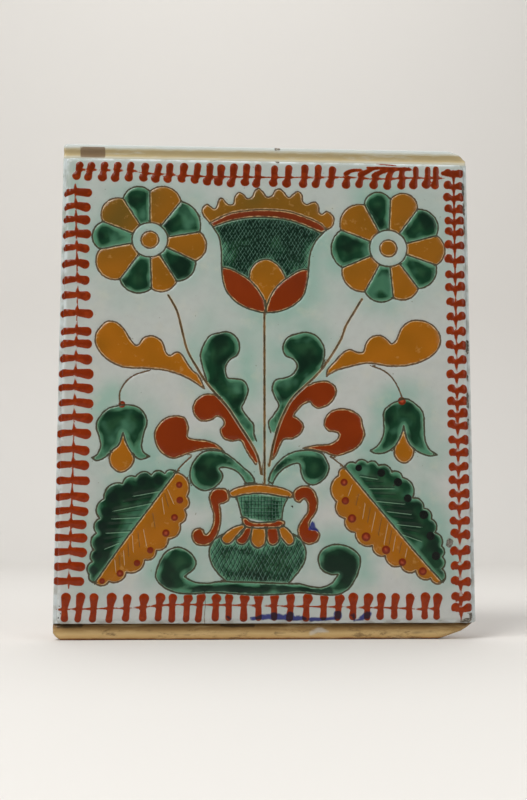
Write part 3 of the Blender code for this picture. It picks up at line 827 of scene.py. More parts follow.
def eased(values: Array, low: float, high: float) -> Array:
    """Soft steps from 0 at low to 1 at high."""
    share = np.clip((values - low) / (high - low), 0, 1)
    return share * share * (3 - 2 * share)


SHADE_SPOTS = soft_spots((
    ((-34, 16.4), (-8, 16.2), 1.9, 1.3), ((8, 16.4), (30, 15.6), 1.9, 1.2),
    ((-38, 19.6), (-4, 18.9), 0.8, -1.6), ((6, 18.7), (24, 17.6), 0.7, -1.2), ((34, 30), (38, 27), 7, 0.8),
    ((-44, 28), (-44, 24), 6, 0.5), ((-14, 22), (6, 22), 5, 0.7), ((-56, 66.5), (-70, 61.5), 4.5, 0.9),
    ((-74.5, 55), (-79.5, 30), 5, 0.9), ((-58, 58), (-78, 29), 3, -0.5), ((-66, 58), (-77, 42), 4, 0.35),
    ((79, 45), (82.5, 26), 3.5, 0.7), ((54, 68), (78, 42), 4.5, 0.45), ((-31, 74), (-29, 70), 6, 0.5),
    ((22, 76), (24, 71), 6, 0.5), ((-20, 136), (-26, 126), 5, 0.4), ((22, 136), (18, 128), 5, 0.4),
    ((-4, 198), (18, 193), 7, 0.8), ((21.5, 192), (18, 174), 2.6, -0.9),
    ((56, 163.6), (57.2, 162), 3, 0.9), ((-20.5, 186), (-18, 170), 4, -1.3),
    ((-46, 172), (-42, 176), 6, 0.9), ((-66, 168), (-62, 172), 7, 0.6), ((72, 198), (76, 200), 6, 0.7),
    ((48, 208), (50, 200), 6, 0.7), ((40, 186), (36, 186), 6, 0.6), ((-4, 58), (4, 56), 9, -0.6),
))
WASH_SPOTS = soft_spots((
    ((-82, 104), (-76, 112), 6, 0.55), ((-10, 128), (-8, 112), 5, 0.4), ((-54, 24), (-52, 34), 4, 0.5),
    ((-6, 142), (0, 132), 6, 0.25), ((-96, 226), (-98, 196), 4, 0.35), ((2, 150), (30, 160), 7, 0.2),
    ((-8, 88), (-12, 78), 4, 0.3), ((50, 22), (28, 28), 4, 0.25), ((56, 104), (60, 112), 4, 0.3),
    ((-92, 170), (-86, 176), 4, 0.2), ((-36, 224), (-20, 226), 4, 0.2), ((-30, 152), (-36, 130), 5, 0.2),
    ((-62, 60), (-72, 72), 5, 0.3), ((-86, 30), (-88, 50), 3, 0.3),
))
DULL_SPOTS = soft_spots((
    ((-78, 196), (-66, 212), 11, 0.65), ((-24, 206), (-10, 210), 8, 0.35), ((-4, 212), (22, 207), 8, 0.38),
))


@dataclass(frozen=True)
class Relief:
    """Heights, depths and widths of the drawing's relief in millimetres."""

    groove: float = 0.4
    groove_width: float = 0.42
    burr: float = 0.07
    burr_place: float = 0.95
    burr_width: float = 0.4
    glaze: float = 0.14
    slip: float = 0.34
    dot: float = 0.22
    scratch: float = 0.22
    scratch_width: float = 0.4
    hatching: float = 0.16
    hatch_width: float = 0.2
    crossed_hatching: float = 1.3
    chip: float = 0.45
    speck: float = 0.2
    broad_wave: float = 0.16
    small_wave: float = 0.06

    def height(self, places: Array, fields: Fields) -> Array:
        """Height of the drawing over the panel.

        Args:
            places: Places on the panel, one row each.
            fields: The painting's fields at the places.

        Returns:
            One height for each place.
        """
        def ridge(distance: Array, width: float) -> Array:
            """Soft ridge, 1 on a line and 0 away from it."""
            return np.exp(-(distance / width) ** 2)

        groove = ridge(fields["line_near"], self.groove_width)
        burr = ridge(fields["line_near"] - self.burr_place, self.burr_width)
        fill = np.minimum.reduce([fields[glaze.value] for glaze in Glaze])
        scratches = sum(ridge(fields[name], self.scratch_width) for name in ("light_near", "dark_near"))
        hatch = sum(ridge(np.abs(fields[name] - np.floor(fields[name]) - 0.5), self.hatch_width)
                    for name in ("hatch_across", "hatch_up"))
        hatch = eased(-fields["hatched"], 0, 0.8) * np.minimum(hatch, self.crossed_hatching)
        height = self.burr * burr + self.glaze * eased(-fill, 0.2, 2.2)
        height += self.slip * eased(-fields["slip"], -0.25, 1.1)
        height += self.dot * eased(-fields["red_dots"], -0.3, 1.2)
        height -= self.groove * groove + self.scratch * scratches + self.hatching * hatch
        height -= self.chip * eased(-fields["chips"], -0.2, 0.5)
        height -= self.speck * eased(-fields["specks"], -0.2, 0.3)
        return height + self.broad_wave * wave(places, 46, 1) + self.small_wave * wave(places, 13, 5)


class Painting:
    """The drawing laid on the panel, as distances that can be read at any place."""

    def __init__(self, sizes: TileSizes, marks: Marks) -> None:
        """Lay the marks on the panel.

        Args:
            sizes: Sizes of the tile.
            marks: The whole drawing.
        """
        self.sizes = sizes
        self.marks = marks
        self.fills = [(fill, sizes.laid(fill.outline)) for fill in marks.fills]
        self.lines, self.light, self.dark, self.stems = (
            [sizes.laid(run) for run in runs]
            for runs in (marks.lines, marks.light_scratches, marks.dark_scratches, marks.stems))

    def run_field(self, places: Array, runs: list[Array]) -> tuple[Array, Array]:
        """Distances to the nearest of several runs.

        Args:
            places: Places, one row each.
            runs: Runs that are laid on the panel.

        Returns:
            The distance with a sign for the side, and the plain distance.
        """
        side, near = np.full(len(places), FAR), np.full(len(places), FAR)
        for run in runs:
            chosen = close_to(places, run, FAR)
            if len(chosen):
                run_side, run_near = line_distances(places[chosen], run)
                closer = run_near < near[chosen]
                side[chosen[closer]], near[chosen[closer]] = run_side[closer], run_near[closer]
        return side, near

    def stroke_field(self, places: Array, strokes: list[Stroke], soft: float = 0.5) -> Array:
        """Distance to the outline of strokes that flow together.

        Args:
            places: Places, one row each.
            strokes: Strokes of the drawing.
            soft: How far apart two strokes still flow together.

        Returns:
            The distance, negative inside.
        """
        result = np.full(len(places), FAR)
        for stroke in strokes:
            start, end = self.sizes.laid([stroke.start, stroke.end])
            widest = max(stroke.start_radius, stroke.end_radius)
            chosen = close_to(places, np.stack([start, end]), FAR + widest)
            if len(chosen):
                off, share = stretch_distances(places[chosen], start, end)
                distance = off - (stroke.start_radius + (stroke.end_radius - stroke.start_radius) * share)
                present = result[chosen]
                blend = np.maximum(soft - np.abs(present - distance), 0) / soft
                result[chosen] = np.minimum(present, distance) - blend ** 2 * soft / 4
        return np.clip(result, -FAR, FAR)

    def fill_fields(self, places: Array) -> Fields:
        """Fields of the coloured glazes.

        Args:
            places: Places, one row each.

        Returns:
            Signed distances to each glaze and to the hatched parts, and the tone.
        """
        fields = {name: np.full(len(places), DEEP) for name in [*(g.value for g in Glaze), "hatched"]}
        fields["tone"] = np.zeros(len(places))
        for fill, outline in self.fills:
            chosen = close_to(places, outline, DEEP)
            if not len(chosen):
                continue
            near = line_distances(places[chosen], np.vstack([outline, outline[:1]]))[1]
            within = inside(places[chosen], outline)
            signed = np.where(within, -near, near)
            joins = {glaze.value: glaze is fill.glaze for glaze in Glaze}
            joins["hatched"] = fill.hatch is not Hatch.NONE
            for name, joined in joins.items():
                present = fields[name][chosen]
                fields[name][chosen] = (np.minimum(present, signed) if joined
                                        else np.maximum(present, -signed))
            fields["tone"][chosen[within]] = fill.tone
        return {name: np.clip(values, -DEEP, DEEP) for name, values in fields.items()}

    def hatch_phases(self, places: Array) -> tuple[Array, Array]:
        """Counts of the two families of hatch lines, whole numbers half way between lines.

        Args:
            places: Places, one row each.

        Returns:
            Both families' counts at each place.
        """
        across, up = np.zeros(len(places)), np.zeros(len(places))
        wobble = [0.22 * wave(places, 7, seed, 2) for seed in (3.1, 8.7)]
        for fill, outline in self.fills:
            if fill.hatch is Hatch.NONE:
                continue
            chosen = close_to(places, outline, FAR)
            slope, first, second = fill.hatch.value
            turn = math.radians(slope)
            x, z = places[chosen].T
            right, rise = x * math.sin(turn), z * math.cos(turn)
            level = z if fill.hatch is Hatch.NECK else right + rise
            across[chosen] = (right - rise) / first + wobble[0][chosen]
            up[chosen] = level / second + wobble[1][chosen]
        return across, up

    def halo(self, places: Array, green: Array, reach: float = 16) -> Array:
        """How much of the green has run into the white round it.

        Args:
            places: Places, one row each.
            green: Signed distances to the green fields.
            reach: How far the green has run.

        Returns:
            Shares from 0 to 1.
        """
        spots = np.vstack([outline[::4] for fill, outline in self.fills if fill.glaze is Glaze.GREEN])
        nearest = np.full(len(places), float(reach))
        for first in range(0, len(places), BATCH):
            some = places[first:first + BATCH]
            squared = ((some[:, None, :] - spots[None]) ** 2).sum(axis=2)
            nearest[first:first + BATCH] = np.sqrt(squared.min(axis=1))
        return np.where(green < 0, 1, 1 - eased(nearest, 0, reach))

    def spots(self, places: Array, spots: Iterable[tuple[Stroke, float]]) -> Array:
        """Sum of soft spots that fade away from their strokes.

        Args:
            places: Places, one row each.
            spots: Strokes, each with its strength.

        Returns:
            One sum for each place.
        """
        result = np.zeros(len(places))
        for stroke, strength in spots:
            start, end = self.sizes.laid([stroke.start, stroke.end])
            off = stretch_distances(places, start, end)[0] / stroke.start_radius
            result += strength * np.exp(-off ** 2)
        return result

    def fineness(self, places: Array) -> Array:
        """Longest edge that the mesh may have, shorter near the drawing and shortest on it.

        Args:
            places: Places, one row each.

        Returns:
            One length for each place, in millimetres.
        """
        marks = self.marks
        near = self.run_field(places, self.lines + self.light + self.dark)[1]
        slip = np.abs(self.stroke_field(places, marks.slip))
        dots = np.abs(self.stroke_field(places, marks.dark_dots + marks.soft_dots + marks.red_dots))
        chips = self.stroke_field(places, marks.chips + marks.specks)
        hatched = self.fill_fields(places)["hatched"]
        longest = np.full(len(places), COARSE)
        longest[(near < 1.8) | (slip < 1.2) | (dots < 1.3) | (hatched < 1)] = MIDDLING
        longest[(near < 0.62) | (slip < 0.22) | (chips < 0.3) | (hatched < 0)] = FINE
        return longest

    def fields(self, places: Array) -> Fields:
        """Everything that the relief and the glaze read.

        Args:
            places: Places, one row each.

        Returns:
            The fields by name, with one value for each place.
        """
        marks, fields = self.marks, self.fill_fields(places)
        for name, runs in (("line", self.lines), ("light", self.light), ("dark", self.dark)):
            fields[name + "_side"], fields[name + "_near"] = self.run_field(places, runs)
        fields["line_side"] += 0.16 * wave(places, 2.4, 70)
        fields["stem"] = self.run_field(places, self.stems)[1]
        fields["panel"] = self.sizes.panel_distance(places)
        for name in ("slip", "dark_dots", "soft_dots", "red_dots", "chips", "specks"):
            fields[name] = self.stroke_field(places, getattr(marks, name))
        fields["slip"] += 0.12 * wave(places, 1.8, 80)
        fields["slip"] = np.maximum(fields["slip"], 0.4 - fields["green"])
        fields["chips"] += 0.35 * wave(places, 1.1, 60, 2)
        fields["blue"] = self.stroke_field(places, marks.blue, 1) + 0.45 * wave(places, 1.6, 40, 2)
        fields["hatch_across"], fields["hatch_up"] = self.hatch_phases(places)
        fields["tone"] += 0.7 * wave(places, 11, 20) + self.spots(places, SHADE_SPOTS)
        fields["halo"] = self.halo(places, fields["green"])
        corners = self.sizes.laid(PATCH_CORNERS)
        off = np.abs(places - corners.mean(axis=0)) - np.ptp(corners, axis=0) / 2
        fields["patch"] = np.clip(off.max(axis=1), -FAR, FAR)
        fields["stain"] = self.spots(places, marks.stains) + 0.25 * wave(places, 3, 90, 2)
        fields["wash"] = self.spots(places, WASH_SPOTS)
        # Duller spots, and higher up painted shade that darkens ochre and red towards the top.
        fields["dull"] = self.spots(places, DULL_SPOTS) + 0.32 * eased(places[:, 1], 125, 155)
        return fields


class Wiring:
    """Short ways to add nodes to a material and join them."""

    def __init__(self, material: bpy.types.Material) -> None:
        """Empty the material's node tree.

        Args:
            material: The material.
        """
        material.use_nodes = True
        self.tree = material.node_tree
        self.tree.nodes.clear()

    def node(self, kind: str, inputs: dict | None = None, **settings: object) -> bpy.types.Node:
        """Add a node.

        Args:
            kind: Node type without its ShaderNode prefix.
            inputs: Sockets to join or values to set, by input name or index.
            settings: The node's own properties.

        Returns:
            The new node.
        """
        node = self.tree.nodes.new("ShaderNode" + kind)
        for name, value in settings.items():
            setattr(node, name, value)
        for name, value in (inputs or {}).items():
            if isinstance(value, Socket):
                self.tree.links.new(value, node.inputs[name])
            else:
                node.inputs[name].default_value = value
        return node

    def read(self, name: str) -> Socket:
        """The value of a mesh attribute."""
        return self.node("Attribute", attribute_name=name, attribute_type="GEOMETRY").outputs["Fac"]

    def depth(self, name: str) -> Socket:
        """How far inside an outline, from its attribute, which is negative inside."""
        return self.times(self.read(name), -1)

    def math(self, operation: str, *values: object) -> Socket:
        """Result of a calculation on sockets or numbers."""
        return self.node("Math", dict(enumerate(values)), operation=operation).outputs[0]

    def times(self, first: object, second: object) -> Socket:
        """Product of two sockets or numbers."""
        return self.math("MULTIPLY", first, second)

    def span(self, value: object, low: float, high: float) -> Socket:
        """Soft step from 0 at low to 1 at high."""
        inputs = {"Value": value, "From Min": low, "From Max": high}
        return self.node("MapRange", inputs, interpolation_type="SMOOTHSTEP").outputs["Result"]

    def mix(self, amount: Socket, under: object, over: object, strength: float = 1) -> Socket:
        """Lay one colour over another.

        Args:
            amount: Where the upper colour shows, from 0 to 1.
            under: Lower colour.
            over: Upper colour.
            strength: How much of the upper colour shows there.

        Returns:
            The mixed colour.
        """
        if strength != 1:
            amount = self.times(amount, strength)
        inputs = {0: amount, 6: under, 7: over}
        return self.node("Mix", inputs, data_type="RGBA", clamp_factor=True).outputs[2]

    def noise(self, size: float, detail: float = 2, roughness: float = 0.5, stretch: float = 1) -> Socket:
        """Noise from 0 to 1.

        Args:
            size: Size of its features in millimetres.
            detail: Its finer octaves.
            roughness: How strong they are.
            stretch: How much longer the features are along X.

        Returns:
            The noise.
        """
        place = self.node("TexCoord").outputs["Object"]
        if stretch != 1:
            inputs = {0: place, 1: (1 / stretch, 1, 1)}
            place = self.node("VectorMath", inputs, operation="MULTIPLY").outputs[0]
        inputs = {"Vector": place, "Scale": 1 / (size * MM), "Detail": detail, "Roughness": roughness}
        return self.node("TexNoise", inputs).outputs["Fac"]

    def height(self, low: float, high: float) -> Socket:
        """Share of the way up between two heights in metres."""
        place = self.node("TexCoord").outputs["Object"]
        return self.span(self.node("SeparateXYZ", {"Vector": place}).outputs["Z"], low, high)

    def ramp(self, value: Socket, stops: Stops) -> Socket:
        """Colour between stops.

        Args:
            value: Place on the ramp, from 0 to 1.
            stops: The colours and their places.

        Returns:
            The colour.
        """
        node = self.node("ValToRGB", {"Fac": value})
        elements = node.color_ramp.elements
        while len(elements) < len(stops):
            elements.new(0.5)
        for element, (place, colour) in zip(elements, stops):
            element.position, element.color = place, colour
        return node.outputs["Color"]


def paint(*shares: int) -> Colour:
    """Colour from its red, green and blue shares out of 255, as seen."""
    seen = [share / 255 for share in shares]
    return (*(s / 12.92 if s <= 0.04045 else ((s + 0.055) / 1.055) ** 2.4 for s in seen), 1.0)


@dataclass(frozen=True)
class GlazedClay:
    """Painted glaze over fired clay, which reads the painting's fields."""

    white: Colour = paint(170, 170, 165)
    # Greener white higher up, with painted shade: darker towards the top.
    shaded_upper_white: Colour = paint(160, 166, 160)
    dusty_white: Colour = paint(140, 144, 134)
    warm_white: Colour = paint(182, 176, 156)
    # Painted highlight along the panel's edge, where the glaze rounds over.
    edge_highlight: Colour = paint(200, 208, 208)
    bare_white: Colour = paint(184, 178, 166)
    pinhole: Colour = paint(96, 88, 74)
    mint: Colour = paint(128, 155, 143)
    washed_mint: Colour = paint(112, 154, 136)
    rim_mint: Colour = paint(100, 132, 108)
    dark_green: Colour = paint(6, 27, 16)
    pale_green: Colour = paint(70, 116, 90)
    hatch_groove: Colour = paint(5, 24, 16)
    # Painted highlight on one side of each hatch groove.
    hatch_highlight: Colour = paint(98, 136, 118)
    ochre: Colour = paint(150, 89, 14)
    deep_ochre: Colour = paint(128, 78, 8)
    # Duller, greener ochre in spots; higher up it is also painted shade, darker towards the top.
    dull_ochre: Colour = paint(92, 70, 22)
    worn_ochre: Colour = paint(174, 132, 72)
    red: Colour = paint(118, 42, 4)
    deep_red: Colour = paint(105, 36, 2)
    # Duller red in spots; higher up it is also painted shade, darker towards the top.
    dull_red: Colour = paint(60, 40, 30)
    cream: Colour = paint(182, 150, 104)
    line: Colour = paint(80, 56, 28)
    line_by_green: Colour = paint(44, 46, 28)
    worn_line: Colour = paint(104, 78, 46)
    stem: Colour = paint(64, 52, 34)
    stem_side: Colour = paint(186, 170, 134)
    light_scratch: Colour = paint(176, 156, 120)
    light_scratch_on_green: Colour = paint(122, 152, 126)
    dark_scratch: Colour = paint(84, 62, 34)
    dark_scratch_on_green: Colour = paint(12, 32, 20)
    soft_dot: Colour = paint(8, 26, 18)
    dark_dot: Colour = paint(14, 18, 14)
    red_dot: Colour = paint(104, 34, 10)
    # Painted highlight in the middle of each red dot.
    red_dot_highlight: Colour = paint(146, 62, 34)
    lower_slip: Colour = paint(122, 37, 0)
    # Painted shade: the slip darker towards the top.
    shaded_upper_slip: Colour = paint(103, 32, 0)
    dark_slip: Colour = paint(86, 24, 6)
    # Painted sheen: lighter patches on the slip.
    slip_sheen: Colour = paint(146, 54, 14)
    slip_edge: Colour = paint(130, 50, 16)
    blue: Colour = paint(32, 38, 100)
    blue_on_slip: Colour = paint(28, 18, 30)
    lower_streak: Colour = paint(196, 168, 120)
    upper_streak: Colour = paint(196, 194, 180)
    flange_stain: Colour = paint(82, 60, 38)
    dirt: Colour = paint(52, 42, 30)
    patch: Colour = paint(112, 88, 66)
    speck: Colour = paint(44, 36, 28)
    green_pool: Stops = (
        (0.15, paint(70, 116, 90)), (0.26, paint(58, 96, 70)), (0.4, paint(15, 50, 30)),
        (0.7, paint(15, 50, 30)), (1, paint(30, 64, 40)))
    upper_flange: Stops = (
        (0, paint(182, 182, 168)), (0.18, paint(188, 182, 160)), (0.3, paint(186, 168, 128)),
        (0.6, paint(170, 152, 112)), (0.7, paint(178, 172, 150)), (0.78, paint(190, 194, 188)),
        (1, paint(180, 186, 182)))
    # Painted shade in the channel under the panel and along the lower rim's edge, lighter where the lip
    # faces up.
    shaded_lower_flange: Stops = (
        (0, paint(50, 36, 24)), (0.1, paint(122, 92, 56)), (0.36, paint(146, 116, 72)),
        (0.62, paint(184, 156, 106)), (0.84, paint(176, 142, 90)), (0.93, paint(122, 76, 40)),
        (1, paint(74, 44, 26)))
    chipped: Stops = ((0.35, paint(62, 58, 52)), (0.55, paint(112, 106, 96)), (0.7, paint(168, 160, 146)))
    sooty_clay: Stops = (
        (0.28, paint(112, 84, 66)), (0.42, paint(150, 106, 78)), (0.6, paint(172, 120, 86)),
        (0.8, paint(188, 146, 112)))
    line_half_width: float = 0.43
    shine: float = 0.2
    roughness: float = 0.2
    clay_roughness: float = 0.85

    def build(self) -> bpy.types.Material:
        """Make the material.

        Returns:
            The material.
        """
        material = bpy.data.materials.new("painted_glaze")
        wires = Wiring(material)
        colour = self.ground(wires)
        for layer in (self.fills, self.lines, self.slip, self.flanges, self.soiling):
            colour = layer(wires, colour)
        chip = wires.span(wires.read("chips"), 0.25, -0.2)
        colour = wires.mix(chip, colour, wires.ramp(wires.noise(0.9, 3), self.chipped))
        colour = wires.mix(wires.span(wires.read("specks"), 0.1, -0.15), colour, self.speck)
        bare = wires.read("clay")
        colour = wires.mix(bare, colour, wires.ramp(wires.noise(22, 6, 0.55), self.sooty_clay))
        rough = wires.math("MAXIMUM", bare, chip)
        roughness = wires.node("MapRange", {
            "Value": rough, "To Min": self.roughness, "To Max": self.clay_roughness})
        shader = wires.node("BsdfPrincipled", {
            "Base Color": colour, "Roughness": roughness.outputs["Result"],
            "Normal": self.surface(wires, rough), "Specular IOR Level": self.shine})
        wires.node("OutputMaterial", {"Surface": shader.outputs["BSDF"]})
        return material

    def ground(self, wires: Wiring) -> Socket:
        """White glaze, greyer higher up, where the darkening is painted shade, that takes up green near
        the green fields, with a painted highlight along the panel's edge.

        Args:
            wires: Where the nodes are added.

        Returns:
            The colour.
        """
        patchy = wires.span(wires.noise(30, 3), 0.35, 0.65)
        halo = wires.times(wires.read("halo"), wires.math("MULTIPLY_ADD", patchy, 0.7, 0.3))
        # Painted shade: the white greener and darker towards the top.
        colour = wires.mix(wires.height(0.03, 0.2), self.white, self.shaded_upper_white)
        colour = wires.mix(halo, colour, self.mint)
        dusty = wires.span(wires.noise(5, 4, 0.6), 0.35, 0.75)
        colour = wires.mix(dusty, colour, self.dusty_white, 0.18)
        colour = wires.mix(wires.read("wash"), colour, self.washed_mint)
        bright = wires.span(wires.noise(6, 3), 0.35, 0.6)
        # Painted highlight: a bluish-white band along the panel's edge, broken up by noise.
        edge_highlight_mask = wires.times(wires.span(wires.read("panel"), 2.4, 0.8), bright)
        colour = wires.mix(edge_highlight_mask, colour, self.edge_highlight, 0.75)
        pinholes = wires.span(wires.noise(2.1, 2), 0.74, 0.79)
        colour = wires.mix(pinholes, colour, self.pinhole, 0.5)
        warm = wires.span(wires.noise(11, 4, 0.6), 0.52, 0.72)
        return wires.mix(warm, colour, self.warm_white, 0.22)

    def fills(self, wires: Wiring, colour: Socket) -> Socket:
        """Coloured glazes, each with a lighter rim where it thins out at its outline; ochre and red are
        duller in spots and, as painted shade, darker towards the top.

        Args:
            wires: Where the nodes are added.
            colour: The colour below.

        Returns:
            The colour with this layer.
        """
        tone, dull = wires.read("tone"), wires.read("dull")
        inner = wires.math("MULTIPLY_ADD", tone, 0.8, 0.5)
        worn = wires.span(wires.noise(4, 4, 0.6), 0.6, 0.72)
        ochre = wires.mix(inner, self.ochre, self.deep_ochre)
        # Dull spots, and higher up painted shade: the ochre darker towards the top.
        ochre = wires.mix(dull, ochre, self.dull_ochre)
        ochre = wires.mix(worn, ochre, self.worn_ochre, 0.35)
        red = wires.mix(inner, self.red, self.deep_red)
        # The red too: duller in spots and, as painted shade, darker towards the top.
        red = wires.mix(dull, red, self.dull_red, 0.5)
        green = self.green_glaze(wires, tone)
        ragged = wires.math("MULTIPLY_ADD", wires.noise(3, 3), 1.2, -0.55)
        for name, glaze, rim, rim_span, foot in (
                ("ochre", ochre, self.cream, (0.95, 0.45), 0.15),
                ("red", red, self.cream, (0.85, 0.4), 0.15),
                ("green", green, self.rim_mint, (1, 0.5), 0.05)):
            depth = wires.depth(name)
            glaze = wires.mix(wires.span(wires.math("ADD", depth, ragged), *rim_span), glaze, rim)
            colour = wires.mix(wires.span(depth, foot, 0.35), colour, glaze)
        return colour

    def green_glaze(self, wires: Wiring, tone: Socket) -> Socket:
        """Green that pools deeper inside its outlines, mottled and hatched, with a painted highlight on
        one side of each hatch groove.

        Args:
            wires: Where the nodes are added.
            tone: How much darker or lighter a place is.

        Returns:
            The colour.
        """
        uneven = wires.math("MULTIPLY_ADD", wires.noise(8, 1), 5, -2.4)
        depth = wires.math("DIVIDE", wires.math("ADD", wires.depth("green"), uneven), DEEP)
        colour = wires.ramp(depth, self.green_pool)
        shade = wires.math("ADD", wires.math("MULTIPLY_ADD", wires.noise(9, 1.5), 3.2, -1.6), tone)
        colour = wires.mix(wires.span(shade, 0, 0.9), colour, self.dark_green, 0.85)
        colour = wires.mix(wires.span(shade, 0.05, -0.8), colour, self.pale_green, 0.6)
        within = wires.span(wires.read("hatched"), -0.3, -0.9)
        for name, strength in (("hatch_across", 1), ("hatch_up", 0.6)):
            off = wires.math("SUBTRACT", wires.math("FRACT", wires.read(name)), 0.5)
            # Painted highlight: a lighter line on one side of each groove.
            burr = wires.span(wires.math("ABSOLUTE", wires.math("SUBTRACT", off, 0.17)), 0.13, 0.06)
            groove = wires.span(wires.math("ABSOLUTE", off), 0.19, 0.07)
            broken = wires.span(wires.noise(1.8, 3), 0.36, 0.54)
            burr = wires.times(wires.times(burr, within), broken)
            colour = wires.mix(
                wires.times(groove, within), colour, self.hatch_groove, 0.85 * strength)
            colour = wires.mix(burr, colour, self.hatch_highlight, 0.45 * strength)
        return colour

    def thin_line(self, wires: Wiring, name: str, half_width: float) -> Socket:
        """Mask of a thin line of uneven width.

        Args:
            wires: Where the nodes are added.
            name: Name of the line's fields.
            half_width: Half its width in millimetres.

        Returns:
            The mask.
        """
        side = wires.math("ABSOLUTE", wires.read(name + "_side"))
        side = wires.math("MULTIPLY_ADD", wires.noise(1.4, 3), 1.3 * half_width, side)
        side = wires.math("SUBTRACT", side, 0.62 * half_width)
        on_line = wires.span(side, half_width + 0.1, half_width - 0.1)
        return wires.times(on_line, wires.span(wires.read(name + "_near"), 0.9, 0.65))

    def lines(self, wires: Wiring, colour: Socket) -> Socket:
        """Scratches, dots on the toothed leaves, incised lines and stems; each red dot has a painted
        highlight in its middle.

        Args:
            wires: Where the nodes are added.
            colour: The colour below.

        Returns:
            The colour with this layer.
        """
        green = wires.read("green")
        on_green = wires.span(green, 0.1, -0.1)
        light = wires.mix(on_green, self.light_scratch, self.light_scratch_on_green)
        colour = wires.mix(self.thin_line(wires, "light", 0.16), colour, light, 0.65)
        dark = wires.mix(on_green, self.dark_scratch, self.dark_scratch_on_green)
        colour = wires.mix(self.thin_line(wires, "dark", 0.18), colour, dark, 0.75)
        soft = wires.span(wires.read("soft_dots"), 0.9, -0.7)
        colour = wires.mix(soft, colour, self.soft_dot, 0.85)
        colour = wires.mix(wires.span(wires.read("dark_dots"), 0.15, -0.2), colour, self.dark_dot)
        dots = wires.read("red_dots")
        # Painted highlight in each red dot's middle.
        red_dot = wires.mix(wires.span(dots, -0.7, -1.4), self.red_dot, self.red_dot_highlight)
        colour = wires.mix(wires.span(dots, 0.2, -0.15), colour, red_dot)
        stem = wires.read("stem")
        colour = wires.mix(wires.span(stem, 1.1, 0.75), colour, self.stem_side, 0.35)
        worn = wires.span(wires.noise(3, 3), 0.52, 0.7)
        line = wires.mix(worn, self.line, self.worn_line)
        line = wires.mix(wires.span(green, 1.1, 0.5), line, self.line_by_green, 0.8)
        colour = wires.mix(self.thin_line(wires, "line", self.line_half_width), colour, line, 0.94)
        ragged = wires.math("MULTIPLY_ADD", wires.noise(2, 3), 0.5, stem)
        patchy = wires.span(wires.noise(9, 3), 0.4, 0.62)
        stem_colour = wires.mix(patchy, self.stem, self.worn_line)
        return wires.mix(wires.span(ragged, 0.92, 0.7), colour, stem_colour)

    def slip(self, wires: Wiring, colour: Socket) -> Socket:
        """Red-brown slip strokes with a lighter edge, painted sheen in lighter patches and painted shade
        that darkens them towards the top, and stray cobalt blue.

        Args:
            wires: Where the nodes are added.
            colour: The colour below.

        Returns:
            The colour with this layer.
        """
        depth = wires.depth("slip")
        # Painted shade: the slip darker towards the top.
        slip = wires.mix(wires.height(0.02, 0.21), self.lower_slip, self.shaded_upper_slip)
        slip = wires.mix(wires.span(wires.noise(2.2, 3), 0.4, 0.75), slip, self.dark_slip, 0.35)
        # Painted sheen in lighter patches over the slip.
        slip = wires.mix(wires.span(wires.noise(3.6, 2), 0.5, 0.7), slip, self.slip_sheen, 0.4)
        slip = wires.mix(wires.span(depth, 0.45, 0.05), slip, self.slip_edge)
        colour = wires.mix(wires.span(depth, -0.12, 0.12), colour, slip)
        blue = wires.mix(wires.span(depth, -0.1, 0.2), self.blue, self.blue_on_slip)
        return wires.mix(wires.span(wires.depth("blue"), -0.4, 0.4), colour, blue, 0.95)

    def flanges(self, wires: Wiring, colour: Socket) -> Socket:
        """Rims and channels above and below the panel, with streaks and stains along them, and painted
        shade in the lower channel under the panel and along the lower rim's edge.

        Args:
            wires: Where the nodes are added.
            colour: The colour below.

        Returns:
            The colour with this layer.
        """
        flange = wires.read("flange")
        share = wires.math("MULTIPLY_ADD", wires.noise(6, 3), 0.12, flange)
        share = wires.math("SUBTRACT", share, 0.06)
        upper = wires.ramp(share, self.upper_flange)
        # Painted shade under the panel and along the lower edge.
        lower = wires.ramp(wires.times(share, -1), self.shaded_lower_flange)
        streaks = wires.span(wires.noise(2, 4, 0.7, stretch=9), 0.5, 0.68)
        lower = wires.mix(streaks, lower, self.lower_streak, 0.4)
        upper = wires.mix(streaks, upper, self.upper_streak, 0.55)
        stains = wires.span(wires.noise(4, 5, 0.75, stretch=3), 0.55, 0.7)
        lower = wires.mix(stains, lower, self.flange_stain, 0.65)
        outside = wires.span(wires.read("panel"), 0.05, -0.1)
        is_upper = wires.math("GREATER_THAN", flange, 0.001)
        is_lower = wires.math("LESS_THAN", flange, -0.001)
        colour = wires.mix(wires.times(outside, is_upper), colour, upper)
        return wires.mix(wires.times(outside, is_lower), colour, lower)

    def soiling(self, wires: Wiring, colour: Socket) -> Socket:
        """Dirt, bare white spots and the dark patch on the upper flange.

        Args:
            wires: Where the nodes are added.
            colour: The colour below.

        Returns:
            The colour with this layer.
        """
        stain = wires.read("stain")
        colour = wires.mix(wires.span(stain, 0.35, 0.9), colour, self.dirt, 0.75)
        colour = wires.mix(wires.span(stain, -0.4, -1), colour, self.bare_white, 0.7)
        return wires.mix(wires.span(wires.read("patch"), 0.25, -0.25), colour, self.patch, 0.85)

    def surface(self, wires: Wiring, rough: Socket) -> Socket:
        """Fine unevenness of the glaze, and the coarser grain of bare clay.

        Args:
            wires: Where the nodes are added.
            rough: Where the clay is bare or chipped.

        Returns:
            The surface's normal.
        """
        peel = wires.times(wires.noise(2.6, 2), 0.5)
        peel = wires.math("SUBTRACT", peel, self.thin_line(wires, "line", 0.3))
        grain = wires.times(wires.times(wires.noise(0.8, 5, 0.7), rough), 2.2)
        height = wires.math("ADD", peel, grain)
        return wires.node("Bump", {"Height": height, "Distance": 0.12 * MM, "Strength": 0.6}).outputs[0]


